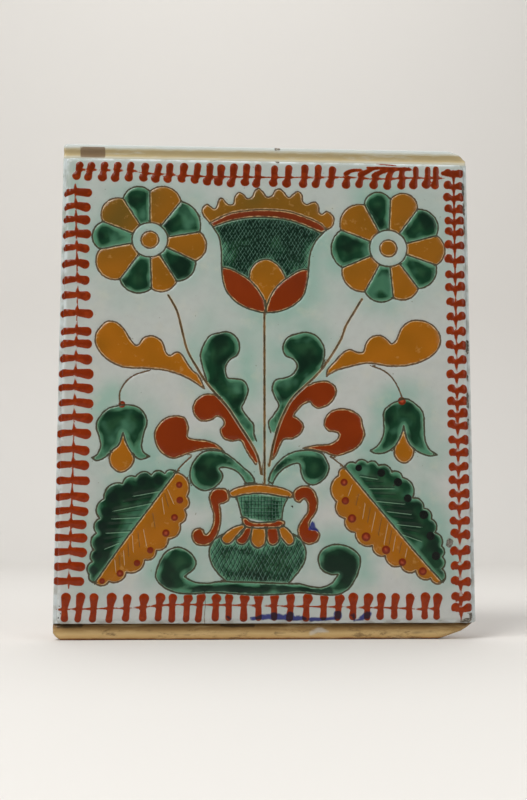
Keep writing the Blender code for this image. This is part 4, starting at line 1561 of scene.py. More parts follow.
@dataclass
class TileBody:
    """The tile in one piece: the panel and flanges in front, the plate and rump behind."""

    sizes: TileSizes
    painting: Painting
    relief: Relief = Relief()
    finish: GlazedClay = GlazedClay()
    face_pitch: float = 1.72
    flange_pitch: float = 0.75
    edge_lines: tuple[float, ...] = (0, 0.2, 0.5, 0.9)
    panel_lines: tuple[float, ...] = (0, 0.15, 0.4, 0.75, 1.2, 1.7, 2.3, 3)
    rounds: int = 2
    unevenness: float = 0.14
    relief_limit: float = 0.45
    rim_share: float = 0.4
    edge_drop: float = 0.8
    rump_bulge: float = 0.35
    bulge_size: float = 40
    glaze_ends: Point = (4, 5.5)
    drip: float = 2.2
    upper_section: tuple[Point, ...] = (
        (-0.25, 0.9), (0.12, 0.75), (0.3, 1), (0.46, 0.8), (0.62, 0.25), (0.78, 0))
    lower_section: tuple[Point, ...] = ((-0.25, 1), (0.05, 0.9), (0.16, 0.45), (0.4, 0.22), (0.78, 0.25))

    def stations(self, low: float, high: float, reach: float) -> Array:
        """Places of the grid lines across the tile, close together at its edges.

        Args:
            low: Lower or left side of the plate.
            high: Upper or right side of the plate.
            reach: Width of the plate that shows beside the panel.

        Returns:
            Rising places from low to high.
        """
        edge = list(self.edge_lines)
        last, rows = edge[-1], max(int((reach - 2 * edge[-1]) / self.flange_pitch), 0) + 1
        edge += [last + (reach - 0.25 - last) * row / rows for row in range(1, rows + 1)]
        edge += [reach - self.sizes.wall_draft, *(reach + line for line in self.panel_lines)]
        inner_low, inner_high = low + edge[-1] + self.face_pitch, high - edge[-1] - self.face_pitch
        count = round((inner_high - inner_low) / self.face_pitch)
        middle = np.linspace(inner_low, inner_high, count + 1)
        edge_places = np.array(edge)
        return np.unique(np.round(np.concatenate([low + edge_places, middle, high - edge_places]), 6))

    def front_sheet(self) -> bmesh.types.BMesh:
        """Flat grid over the plate's outline, finer where the drawing needs it.

        Returns:
            The grid, cut at the corners.
        """
        sizes = self.sizes
        columns = self.stations(sizes.left, sizes.right, sizes.side_strip)
        rows = self.stations(sizes.low, sizes.top, sizes.flange_reach)
        shape = bmesh.new()
        bmesh.ops.create_grid(shape, x_segments=len(columns) - 1, y_segments=len(rows) - 1, size=1.0)
        for vert in shape.verts:
            column = (vert.co.x + 1) / 2 * (len(columns) - 1)
            row = (vert.co.y + 1) / 2 * (len(rows) - 1)
            vert.co = (columns[round(column)], 0, rows[round(row)])
        for _ in range(self.rounds):
            self.refine(shape)
        for point, outwards in sizes.corner_cuts():
            bmesh.ops.bisect_plane(
                shape, geom=shape.verts[:] + shape.edges[:] + shape.faces[:], dist=0.02,
                plane_co=(point[0], 0, point[1]), plane_no=(outwards[0], 0, outwards[1]),
                clear_outer=True,
            )
        return shape

    def refine(self, shape: bmesh.types.BMesh) -> None:
        """Halve the edges that are longer than the drawing allows there.

        Args:
            shape: The grid.
        """
        edges = list(shape.edges)
        ends = np.array([(*edge.verts[0].co.xz, *edge.verts[1].co.xz) for edge in edges])
        longest = self.painting.fineness((ends[:, :2] + ends[:, 2:]) / 2)
        lengths = np.hypot(*(ends[:, :2] - ends[:, 2:]).T)
        chosen = [edge for edge, length, most in zip(edges, lengths, longest) if length > most]
        bmesh.ops.subdivide_edges(shape, edges=chosen, cuts=1, use_grid_fill=True)

    def section(self, share: Array, knots: Iterable[Point]) -> Array:
        """Height of a flange over the rim, by its share of the reach."""
        return -np.interp(share, *np.array(smooth(knots)).T) * self.sizes.channel_depth

    def height(self, places: Array) -> Array:
        """Height of the front over the rims' depth place.

        Args:
            places: Places on the front, one row each.

        Returns:
            One height for each place, in millimetres.
        """
        sizes, fields = self.sizes, self.painting.fields(places)
        above, below = sizes.flange_shares(places[:, 1])
        upper, lower = (self.section(above, self.upper_section), self.section(below, self.lower_section))
        base = np.where(above > self.upper_section[0][0], upper, 0)
        base = np.where(below > self.lower_section[0][0], lower, base)
        beside = (above < 0) & (below < 0)
        base = np.where(beside, -sizes.strip_drop, base)
        inwards = sizes.edge_distance(places)
        at_rim = np.maximum(above, below) > self.rim_share
        edge = np.where(at_rim, sizes.rim_round, sizes.edge_round)
        off = np.clip(edge - inwards, 0, edge)
        base = base - (edge - np.sqrt(np.maximum(edge ** 2 - off ** 2, 0))) * self.edge_drop
        base = base + self.unevenness * wave(places, 9, 14, 2)
        panel = fields["panel"]
        arch = np.clip(sizes.panel_round - panel, 0, sizes.panel_round)
        rise = sizes.panel_rise - sizes.panel_wall
        dome = sizes.panel_wall + rise * np.sqrt(1 - (arch / sizes.panel_round) ** 2)
        foot = np.clip((panel + sizes.wall_draft) / sizes.wall_draft, 0, 1)
        on_panel = dome + self.relief.height(places, fields) * eased(panel, -0.1, 1.5)
        on_panel = np.minimum(on_panel, sizes.panel_rise + self.relief_limit)
        return np.where(panel < 0, base + (sizes.panel_wall - base) * foot, on_panel)

    @staticmethod
    def ordered_rim(shape: bmesh.types.BMesh) -> Ring:
        """The open boundary's vertices in order.

        Args:
            shape: Mesh with one open boundary.

        Returns:
            The vertices round the boundary.
        """
        first = next(edge for edge in shape.edges if edge.is_boundary).verts[0]
        rim, previous, vert = [first], None, first
        while True:
            steps = [edge.other_vert(vert) for edge in vert.link_edges if edge.is_boundary]
            following = steps[0] if steps[0] is not previous else steps[1]
            if following is first:
                return rim
            rim.append(following)
            previous, vert = vert, following

    @staticmethod
    def ring_edges(shape: bmesh.types.BMesh, ring: Ring) -> list[bmesh.types.BMEdge]:
        """Edges round a ring of vertices."""
        return [shape.edges.get(pair) for pair in zip(ring, ring[1:] + ring[:1])]

    def drawn_out(self, shape: bmesh.types.BMesh, ring: Ring, places: Iterable[Vector]) -> Ring:
        """Extrude a closed ring of vertices to new places.

        Args:
            shape: Mesh that holds the ring.
            ring: The ring's vertices in order.
            places: New place of each vertex.

        Returns:
            The new ring's vertices in the same order.
        """
        made = bmesh.ops.extrude_edge_only(shape, edges=self.ring_edges(shape, ring))["geom"]
        made = {item for item in made if isinstance(item, bmesh.types.BMVert)}
        following = []
        for vert, place in zip(ring, places):
            new = next(other for edge in vert.link_edges if (other := edge.other_vert(vert)) in made)
            new.co = place
            following.append(new)
        return following

    def skirt(self, shape: bmesh.types.BMesh) -> Ring:
        """Sides of the plate, from the front sheet's rim round to the back.

        Args:
            shape: The front sheet.

        Returns:
            The last ring, on the back.
        """
        rim = self.ordered_rim(shape)
        corners = np.array([vert.co.xz for vert in rim])
        reach = 5  # vertices either way that give the rim's direction
        along = np.roll(corners, -reach, axis=0) - np.roll(corners, reach, axis=0)
        inwards = np.stack([-along[:, 1], along[:, 0]], axis=1)
        inwards /= np.hypot(*inwards.T)[:, None]
        middle = corners.mean(axis=0)
        inwards *= np.sign(((middle - corners) * inwards).sum(axis=1))[:, None]
        back = self.sizes.plate_back
        steps = ((0.0, back - 6.0), (0.05, back - 3.5), (0.0, back - 1.4), (0.1, back - 0.7),
                 (0.35, back - 0.22), (0.9, back), (1.5, back))
        for inset, depth in steps:
            places = [Vector((x, depth, z)) for x, z in corners + inwards * inset]
            rim = self.drawn_out(shape, rim, places)
        return rim

    def rump(self, shape: bmesh.types.BMesh) -> Ring:
        """Open box behind the plate, with a lip at its rear rim.

        Args:
            shape: Mesh that gets the box.

        Returns:
            The first ring, where the box meets the plate.
        """
        sizes = self.sizes
        left, right = sizes.panel_left + sizes.rump_inset_side, sizes.panel_right - sizes.rump_inset_side
        low, top = sizes.panel_low + sizes.rump_inset_end, sizes.panel_top - sizes.rump_inset_end
        radius, sides, turns = sizes.rump_corner, 30, 10
        centres = ((right - radius, top - radius), (left + radius, top - radius),
                   (left + radius, low + radius), (right - radius, low + radius))
        base, outwards = [], []
        for index, centre in enumerate(centres):
            for step in range(turns + 1):
                angle = 90 * index + 90 * step / turns
                base.append(polar(centre, radius, angle))
                outwards.append(polar((0, 0), 1, angle))
            end, start = (polar(place, radius, 90 * index + 90)
                          for place in (centre, centres[(index + 1) % 4]))
            for step in range(1, sides):
                share = step / sides
                base.append((end[0] + (start[0] - end[0]) * share, end[1] + (start[1] - end[1]) * share))
                outwards.append(polar((0, 0), 1, 90 * index + 90))
        base, outwards = np.array(base), np.array(outwards)
        bulge = np.array([self.rump_bulge * noise.noise(Vector((x, 0, z)) / self.bulge_size)
                          for x, z in base])

        def ring_places(offset: float, depth: float) -> list[Vector]:
            """Places of a ring outside or inside the rump's wall."""
            wobble = bulge if depth > sizes.plate_back + 2 else 0 * bulge
            return [Vector((x, depth, z)) for x, z in base + outwards * (offset + wobble)[:, None]]

        back, wall, lip = sizes.plate_back, sizes.rump_wall, sizes.lip_reach
        ring = bmesh.ops.create_circle(shape, segments=len(base), radius=1.0)["verts"]
        for vert, place in zip(ring, ring_places(3.0, back)):
            vert.co = place
        first = list(ring)
        lip_low = -sizes.lip_depth
        steps = (
            (1.5, back + 0.15), (0.4, back + 1.2), (0.0, back + 4.0), (0.0, -20.0), (0.0, -12.0),
            (0.3, lip_low - 1.2), (lip - 0.3, lip_low - 0.2), (lip, lip_low + 1.0), (lip, -1.2),
            (lip - 0.3, -0.4), (lip - 1.2, 0.0), (-wall + 1.2, 0.0), (-wall + 0.3, -0.4),
            (-wall, -1.4), (-wall, -12.0), (-wall, -22.0), (-wall, back + 2.5), (-wall - 0.6, back + 0.8),
            (-wall - 1.8, back + 0.15), (-wall - 2.4, back + 0.1),
        )
        for offset, depth in steps:
            ring = self.drawn_out(shape, ring, ring_places(offset, depth))
        middle = bmesh.ops.contextual_create(shape, geom=self.ring_edges(shape, ring))
        bmesh.ops.triangulate(shape, faces=middle["faces"])
        return first

    def attributes(self, mesh: bpy.types.Mesh, fields: Fields) -> None:
        """Write the fields as mesh attributes.

        Args:
            mesh: The tile's mesh.
            fields: The fields by name, with one value for each vertex.
        """
        for name, values in fields.items():
            attribute = mesh.attributes.new(name, "FLOAT", "POINT")
            attribute.data.foreach_set("value", values.astype(np.float32))

    def build(self) -> bpy.types.Object:
        """Model the tile, write its fields and dress it.

        Returns:
            The finished piece.
        """
        sizes = self.sizes
        shape = self.front_sheet()
        verts = list(shape.verts)
        places = np.array([vert.co.xz for vert in verts])
        log.info("front sheet: %d vertices, %d faces", len(verts), len(shape.faces))
        for vert, height in zip(verts, self.height(places)):
            vert.co.y = sizes.rim - height
        outer = self.skirt(shape)
        inner = self.rump(shape)
        loops = self.ring_edges(shape, outer) + self.ring_edges(shape, inner)
        bmesh.ops.triangle_fill(shape, edges=loops, use_beauty=True)
        bmesh.ops.recalc_face_normals(shape, faces=shape.faces)
        loose = sum(len(edge.link_faces) != 2 for edge in shape.edges)
        log.info("edges that don't join two faces: %d", loose)

        every = np.array([vert.co for vert in shape.verts])
        places = every[:, ::2]
        fields = self.painting.fields(places)
        above, below = sizes.flange_shares(every[:, 2])
        fields["flange"] = np.where(above > 0, above, np.where(below > 0, -below, 0.0))
        drips = wave(places, 7, 30, 3) * self.drip
        fields["clay"] = eased(every[:, 1] - sizes.rim + drips, *self.glaze_ends)
        for vert in shape.verts:
            vert.co *= MM
        for face in shape.faces:
            face.smooth = True
        mesh = bpy.data.meshes.new("painted_tile")
        shape.to_mesh(mesh)
        shape.free()
        self.attributes(mesh, fields)
        mesh.materials.append(self.finish.build())
        piece = bpy.data.objects.new("painted_tile", mesh)
        bpy.context.scene.collection.objects.link(piece)
        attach(piece, "root")
        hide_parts("stove_tile")
        return piece


@dataclass(frozen=True)
class Studio:
    """Pale floor and backdrop, soft lights and the camera."""

    floor: float
    reach: float = 3.0
    backdrop: float = 1.6
    bend: float = 0.5
    camera_place: tuple = (-0.02969, -0.58403, 0.02036)
    camera_yaw: float = 2.984
    camera_pitch: float = 6.745
    camera_roll: float = 0.078
    lens: float = 50.0

    def build(self) -> None:
        """Make the stage, the lights and the camera."""
        shape = bmesh.new()
        bmesh.ops.create_grid(shape, x_segments=1, y_segments=1, size=self.reach)
        bmesh.ops.translate(shape, vec=(0, self.backdrop - self.bend - self.reach, self.floor),
                            verts=shape.verts)
        far_edge = max(shape.edges, key=lambda edge: sum(vert.co.y for vert in edge.verts))
        made = bmesh.ops.spin(
            shape, geom=[far_edge], cent=(0, self.backdrop - self.bend, self.floor + self.bend),
            axis=(1, 0, 0), angle=math.radians(90), steps=16,
        )["geom_last"]
        last = [item for item in made if isinstance(item, bmesh.types.BMEdge)]
        raised = bmesh.ops.extrude_edge_only(shape, edges=last)["geom"]
        bmesh.ops.translate(shape, vec=(0, 0, 2.0), verts=[
            item for item in raised if isinstance(item, bmesh.types.BMVert)])
        mesh = bpy.data.meshes.new("studio_sweep")
        shape.to_mesh(mesh)
        shape.free()
        mesh.shade_smooth()
        sweep = bpy.data.objects.new("studio_sweep", mesh)
        bpy.context.scene.collection.objects.link(sweep)
        material = bpy.data.materials.new("pale_floor")
        wires = Wiring(material)
        shader = wires.node("BsdfPrincipled", {"Base Color": paint(222, 218, 212), "Roughness": 0.75})
        wires.node("OutputMaterial", {"Surface": shader.outputs["BSDF"]})
        mesh.materials.append(material)
        self.light("key", (-0.9, -1.1, 1.5), (0, 0, 0.1), 1.1, 33.0)
        self.light("fill", (1.3, -1.3, 0.9), (0, 0, 0.1), 1.4, 11.0)
        self.light("top", (0.0, 0.6, 2.0), (0, 0.5, 0.0), 1.6, 18.0)
        world = bpy.data.worlds.new("soft_room")
        world.use_nodes = True
        background = world.node_tree.nodes["Background"]
        background.inputs["Color"].default_value = (0.9, 0.95, 1.0, 1.0)
        background.inputs["Strength"].default_value = 0.2
        bpy.context.scene.world = world
        self.camera()
        bpy.context.scene.view_settings.view_transform = "Standard"

    def light(self, name: str, place: tuple, aim: tuple, size: float, power: float) -> None:
        """Add a soft light at a place, turned to where it aims.

        Args:
            name: Name of the light.
            place: Where it is.
            aim: Where it aims.
            size: Side of its square.
            power: Its power in watts.
        """
        data = bpy.data.lights.new(name, "AREA")
        data.shape, data.size, data.energy = "SQUARE", size, power
        lamp = bpy.data.objects.new(name, data)
        lamp.location = place
        lamp.rotation_euler = (Vector(aim) - Vector(place)).to_track_quat("-Z", "Y").to_euler()
        bpy.context.scene.collection.objects.link(lamp)

    def camera(self) -> None:
        """Add the camera at the photograph's place and angle."""
        data = bpy.data.cameras.new("camera")
        data.lens, data.sensor_width, data.clip_start = self.lens, 36.0, 0.01
        camera = bpy.data.objects.new("camera", data)
        turn = Matrix.Rotation(math.radians(-self.camera_yaw), 4, "Z")
        turn @= Matrix.Rotation(math.radians(90 + self.camera_pitch), 4, "X")
        turn @= Matrix.Rotation(math.radians(self.camera_roll), 4, "Z")
        camera.matrix_world = Matrix.Translation(self.camera_place) @ turn
        bpy.context.scene.collection.objects.link(camera)
        bpy.context.scene.camera = camera


ROSETTES = [
    Rosette((-59.3, 189.2), 4.4, 8.9, 25.2, (
        (10, 27.4), (53, 28.8), (91, 28.5), (123, 29.2), (159, 28.7), (192, 29.8), (235, 28.2),
        (273, 27.6), (303, 27.4), (335, 28.4))),
    Rosette((60.5, 186.5), 4.4, 9.5, 25.6, (
        (16, 29.1), (54, 30.4), (87, 30), (118, 29.3), (159, 29),
        (204, 28.4), (242, 28.3), (275, 27.9), (306, 27.9), (341, 28.8)), pale=6),
]
TULIP = Tulip(
    crown_top=[
        (-29.4, 198.3), (-32.4, 201.6), (-33.5, 205), (-31.4, 207.9), (-29.2, 206.9), (-27.3, 205.7),
        (-26, 207.2), (-25.2, 210.4), (-23.4, 211.3), (-21.7, 209.2), (-19.9, 208), (-17.6, 208.7),
        (-17.2, 211.9), (-15.2, 214.6), (-12.9, 213.6), (-10.9, 211.4), (-8.4, 212.4), (-7, 215.5),
        (-5, 216.8), (-2.9, 214.9), (-0.9, 212.4), (1.6, 213.2), (3.2, 215.9), (5.4, 216.8), (7.6, 215.2),
        (9.9, 212.5), (12, 213.7), (14.4, 215.7), (16.7, 213.9), (17.2, 210.3), (19.2, 208.9),
        (21.6, 209.8), (23.9, 210.1), (25.2, 207.8), (25.6, 204.6), (27.2, 204), (29.4, 205.3),
        (32.2, 203.4), (33.1, 200.6), (31.9, 197.4), (29, 195.6)],
    crown_foot=[
        (-29.4, 198.3), (-20.1, 203.3), (-10, 205.2), (-0.4, 205.8), (10, 205), (19.8, 201.8),
        (26.5, 198.6), (29, 195.6)],
    band_foot=[
        (-27.8, 196.3), (-20, 199.4), (-10, 201.4), (-1, 201.7), (8, 200.9), (16, 198.6), (26.6, 194.2)],
    cup=[
        (-29.4, 198.3), (-25.2, 191.8), (-23.8, 185.5), (-23.4, 177.5), (-22.8, 169.6), (-20.4, 162.6),
        (-15, 157), (-8.5, 154), (-1.5, 152.5), (6.5, 153.5), (13, 156.7), (17.6, 161.6), (19.6, 169),
        (20.3, 177), (21.2, 184), (24, 189.8), (29, 195.6)],
    left_petal=[
        (-23.3, 175.6), (-19, 174.8), (-14.6, 172.6), (-9.4, 169.2), (-4.8, 164), (-2, 158.8),
        (-1.2, 153.6)],
    right_petal=[
        (20.2, 175), (16.4, 174.6), (12, 172.2), (6.8, 168.4), (3, 164.2), (0.4, 159.2), (-1.2, 153.6)],
    drop=[
        (-9.6, 169.6), (-8.9, 174.2), (-6, 178.2), (-1.2, 180), (3.4, 178.2), (6.8, 174.4), (8.8, 170.2)],
)
SPRAY = Spray(
    stems=(
        [(-1.9, 152.6), (-1.6, 110), (-1.3, 67)],
        [(-49.6, 160.8), (-45.2, 152.8), (-42.4, 142.4), (-39.6, 132.6), (-34.6, 123.8), (-29.4, 115.8),
         (-24.4, 110.1), (-19.4, 104.4), (-13.6, 95.6), (-8, 87), (-4.6, 80.2), (-3, 72)],
        [(46.9, 160), (42.4, 152.4), (38.7, 146), (36.4, 139.6), (31.2, 130.6), (24.8, 121.8), (13, 110.3),
         (8.6, 103.2), (5.2, 95), (2.8, 86.4), (0.9, 76)],
        [(-58.6, 122.6), (-64.8, 120.7), (-69.4, 117.2), (-72.3, 111.8), (-72.3, 107.2)],
        [(51.7, 126), (57.6, 123.6), (62, 119.8), (65, 114.4), (66.5, 110.4)],
        [(-44.3, 72.6), (-41.8, 75.8), (-37.2, 80.2)],
        [(38, 75.2), (33.4, 78.8), (30.8, 80.5)],
    ),
    stem_leaves=(
        (Glaze.GREEN, 1, [
            (-30.2, 118.4), (-32.2, 124.6), (-33.3, 130.6), (-31.6, 136.3), (-28.6, 140.6), (-24.4, 141.9),
            (-20.4, 142.6), (-16.2, 140.5), (-14.1, 136), (-15, 131.1), (-18.8, 128.3), (-20.9, 124.4),
            (-19.8, 119.6), (-15.8, 119), (-11.8, 117.9), (-9.6, 113.6), (-11.2, 107.9), (-12.6, 104.4),
            (-9.6, 99.6), (-6.8, 96), (-6.6, 91.6), (-5.4, 88.4)]),
        (Glaze.GREEN, 2, [
            (1.6, 92.6), (0.5, 97.4), (3.2, 101.4), (5.4, 105.8), (3.6, 109.9), (2.2, 114.2), (3.8, 118.4),
            (8.8, 119.7), (12.6, 121.8), (14.5, 125.8), (12.4, 129.1), (8.6, 131), (7.3, 135.2),
            (9.4, 139.7), (13.8, 141.8), (19.4, 142.7), (24.6, 140.5), (27.9, 135), (27.8, 129.4),
            (26.4, 124.9)]),
        (Glaze.RED, 1, [
            (-22.8, 108.9), (-27, 111.1), (-32, 110.7), (-35.8, 107.2), (-36.4, 102.2), (-33.2, 98.2),
            (-28, 98.2), (-24.8, 100.3), (-21.8, 98.6), (-21.4, 96.2), (-23.2, 93.4), (-21.4, 89.3),
            (-17, 88), (-13, 88.2), (-9.8, 82.4), (-5.9, 76.8)]),
        (Glaze.RED, 2, [
            (20, 116), (24, 117.6), (29.2, 118.1), (33.4, 115.2), (33.4, 110.8), (30, 106.3), (25, 104.6),
            (22, 106.1), (20.8, 107.8), (16.6, 105.6), (12.9, 100.9), (14.6, 99.7), (17.6, 96.2),
            (16.4, 92.2), (12.4, 89.4), (8.2, 89), (6.2, 86), (4.4, 81.6), (2.4, 79)]),
    ),
    leaves=(
        (Glaze.OCHRE, [
            (-31, 113.8), (-31, 113.8), (-34, 120.2), (-37.4, 123.2), (-40.4, 127.6), (-42.9, 131.4),
            (-45.4, 132), (-48.4, 130.4), (-50.3, 132), (-52.4, 137.4), (-56.6, 140), (-61, 139.3),
            (-63.6, 136), (-65.2, 135.3), (-67.6, 137.9), (-71.6, 144), (-76, 147.1), (-80.4, 146.6),
            (-84.6, 141), (-84.4, 135), (-79.4, 128.6), (-71, 124.4), (-60, 123.8), (-50, 122.8),
            (-40.4, 119.6)]),
        (Glaze.OCHRE, [
            (29, 120.5), (29, 120.5), (29.6, 124), (33.4, 128.2), (37, 132.3), (40.6, 134.2),
            (44.4, 132.9), (47.4, 133), (48.8, 137.2), (51.6, 140.6), (56, 141.6), (59.2, 139.8),
            (61.6, 137.5), (64, 139.2), (66.6, 145.2), (70.6, 148.7), (75, 149.5), (80.4, 148.3),
            (84.8, 144.4), (86.3, 139.6), (84.4, 134), (78.6, 129.4), (70.6, 126.7), (61, 126),
            (50, 127.4), (40, 125.4), (33.6, 123.4)]),
        (Glaze.RED, [
            (-20.6, 82.1), (-20.6, 82.1), (-24.6, 86.2), (-30, 88.2), (-36.4, 88.9), (-39, 90.4),
            (-38.8, 95.2), (-40.6, 99.2), (-45, 100.3), (-50.2, 98.9), (-54.2, 94.4), (-55, 89.8),
            (-53.2, 84.2), (-49.2, 80.5), (-45, 79.5), (-39.4, 81.5), (-33.4, 83.4), (-26, 84.2)]),
        (Glaze.RED, [
            (17.4, 84.7), (17.4, 84.7), (23.4, 86.1), (30.2, 86.8), (34.2, 89), (35.2, 91.6), (33.2, 92.8),
            (29.6, 93.6), (27.8, 97), (30, 102), (35.4, 104.4), (41, 103.6), (45.6, 100.6), (47, 95.4),
            (47.7, 91.2), (44.8, 85.8), (39.4, 82.6), (33.4, 81), (28, 82.8), (22, 83.9)]),
        (Glaze.GREEN, [
            (-6, 67.6), (-6, 67.6), (-7.4, 71.2), (-11.4, 74.8), (-16.6, 79.4), (-21.4, 82.5),
            (-26.4, 83.4), (-31.6, 82.4), (-35.8, 78), (-37.6, 72.4), (-36.4, 67.2), (-31.6, 63.9),
            (-26.6, 64.7), (-22.6, 68.2), (-21.8, 71.8), (-23.4, 74.6), (-19.6, 75), (-15, 73.2),
            (-12.2, 70.4), (-10.6, 67.2), (-10.6, 67.2)]),
        (Glaze.GREEN, [
            (0.5, 68.4), (0.5, 68.4), (1.8, 72.6), (5, 77.4), (9.4, 81.2), (14.6, 83.3), (21, 83.7),
            (26.6, 82.2), (29.4, 78), (30.2, 74.6), (28, 69.8), (23, 66.7), (18.6, 68.2), (16.6, 72.2),
            (15.9, 76.6), (13.6, 77.2), (9, 75.2), (4.9, 71.6), (2.6, 67.2), (2.6, 67.2)]),
    ),
)
BELL_FLOWERS = [
    BellFlower(
        bell=[
            (-57, 80.2), (-57, 80.2), (-60.4, 82.6), (-61.2, 86.6), (-60, 92.4), (-58.8, 97.2),
            (-60.6, 102), (-64.4, 104.9), (-69, 105.6), (-73.2, 105.1), (-78.2, 103.5), (-81.9, 99.5),
            (-83.4, 95.2), (-81.9, 89.8), (-81, 85.4), (-82.6, 81.2), (-85.2, 79.5), (-85.2, 79.5),
            (-82.6, 78.1), (-78.8, 79.7), (-74.8, 83.7), (-72.2, 86), (-70.4, 91.8), (-70.4, 91.8),
            (-68.8, 87), (-65.4, 81.4), (-61.6, 78.8)],
        apex=(-70.4, 91.8),
        clapper=[
            (-75.8, 82.8), (-76.7, 79.2), (-75.4, 75.2), (-71.4, 72.5), (-67.4, 74), (-64.8, 78),
            (-65.3, 81.4)],
        dot=(-71.2, 105.8), dot_radius=1.7),
    BellFlower(
        bell=[
            (50.4, 83.6), (50.4, 83.6), (54.6, 86.7), (57.1, 92), (57.3, 98), (57.4, 103), (60.2, 106.2),
            (63.8, 108.2), (69, 109.5), (74, 106.4), (77, 102.4), (77.4, 96), (77.7, 89.8), (79.6, 84.8),
            (83.6, 81.7), (83.6, 81.7), (79.2, 81.3), (73.2, 83.8), (69, 88.7), (67.2, 96), (67.2, 96),
            (65.8, 91.2), (62.8, 86), (58.4, 82.9), (53.6, 82.2)],
        apex=(67.1, 94),
        clapper=[
            (62.6, 85.8), (62.5, 81.6), (64.8, 78.4), (68.2, 77.8), (71.2, 80.2), (72.3, 84.4)],
        dot=(66.4, 108.5), dot_radius=2),
]
TOOTHED_LEAVES = [
    TwoColourLeaf(
        midrib=[(-44.3, 72.6), (-54.6, 58.4), (-67.5, 40.7), (-82, 19.6)],
        green_side=[
            (-44.3, 72.6), (-49.8, 72), (-56.2, 71.3), (-63.8, 70.3), (-70, 67.1), (-78.8, 59.6),
            (-80.6, 50.2), (-81.9, 43.1), (-82.8, 35.1), (-83.5, 29.5), (-84.8, 23.4), (-82, 19.6)],
        ochre_side=[
            (-44.3, 72.6), (-38.9, 60.8), (-39.9, 54.4), (-42, 47.6), (-47.6, 40.4), (-53.1, 35),
            (-58.6, 30.3), (-67.3, 24.6), (-75.3, 20.2), (-82, 19.6)],
        green_outwards=1,
        dark_dots=(
            (-52.5, 68.5, 2.1), (-61, 68, 2), (-67.5, 65, 2.2), (-74.4, 60.3, 2.4), (-77.2, 53.5, 2.3),
            (-79, 46.5, 2), (-80, 39.5, 2), (-80.9, 32.5, 1.8), (-82.8, 25.5, 2)),
        red_dots=(
            (-42.7, 66.5, 1.6), (-42.3, 59.1, 1.7), (-44.7, 50.7, 1.7), (-48.7, 43.2, 1.8), (-56, 35, 1.6),
            (-62.2, 28.9, 1.6), (-70.2, 24, 1.7), (-78.6, 20.4, 1.4)),
        soft=True,
        green_veins=(((-64.4, 61.6), (-52.5, 63.8)), ((-73.8, 54.4), (-55.6, 58.1)),
                     ((-74.4, 50.6), (-61.3, 51.3)), ((-76.9, 43.8), (-65, 44.4)),
                     ((-77.5, 36.3), (-71.3, 38.8))),
        ochre_veins=(((-48.1, 63.8), (-45.3, 57.5)), ((-50.9, 60), (-49.7, 52.8)),
                     ((-59.4, 44.4), (-57.8, 36.9)), ((-64.7, 41.9), (-64.1, 34.4)),
                     ((-68.8, 34.4), (-68.1, 28.1)), ((-72.8, 30), (-72.2, 25)))),
    TwoColourLeaf(
        midrib=[(38, 75.2), (50, 60.8), (60, 48.8), (72, 34.4), (85.2, 19.6)],
        green_side=[
            (38, 75.2), (43.1, 77.5), (49.2, 77.8), (54.6, 76.2), (61, 73.2), (66.4, 70.4), (71, 60.4),
            (76.6, 55.4), (80.3, 50.2), (81.9, 43.6), (84.9, 37), (85.3, 31.8), (85, 26), (85.2, 19.6)],
        ochre_side=[
            (38, 75.2), (34.9, 71.4), (33.9, 58.5), (38, 50.4), (42.9, 43.6), (51.2, 37.2), (57.4, 32.3),
            (65, 27.5), (72.2, 25.1), (79.4, 21.4), (85.2, 19.6)],
        green_outwards=-1,
        dark_dots=(
            (44.7, 75.1, 1.7), (55.8, 72.7, 2), (64, 68.2, 2.1), (68.8, 60.3, 2), (76.5, 52.3, 2.2),
            (79.7, 42, 2.1), (82.2, 32.3, 2.1)),
        red_dots=(
            (37.5, 68, 1.8), (38.1, 59, 1.9), (41.3, 50.4, 2.1), (48.1, 41.5, 2.2), (57.8, 35.2, 2.1),
            (65.7, 29.3, 1.9), (75.6, 24.9, 2)),
        green_veins=(((45.6, 71.6), (53.8, 70.3)), ((50, 65.6), (61.9, 65.6)),
                     ((53.8, 59.4), (66.9, 58.1)), ((58.8, 54.4), (70, 53.1)),
                     ((63.8, 48.1), (75, 46.9)), ((66.3, 43.1), (75, 40))),
        ochre_veins=(((41.3, 66.3), (39.7, 61.9)), ((47.8, 57.5), (46.6, 50.6)),
                     ((52.8, 53.1), (50.9, 44.4)), ((58.8, 47.5), (56.9, 38.1)),
                     ((62.5, 41.3), (61.3, 35)), ((68.1, 35.6), (67.2, 31.9)))),
]
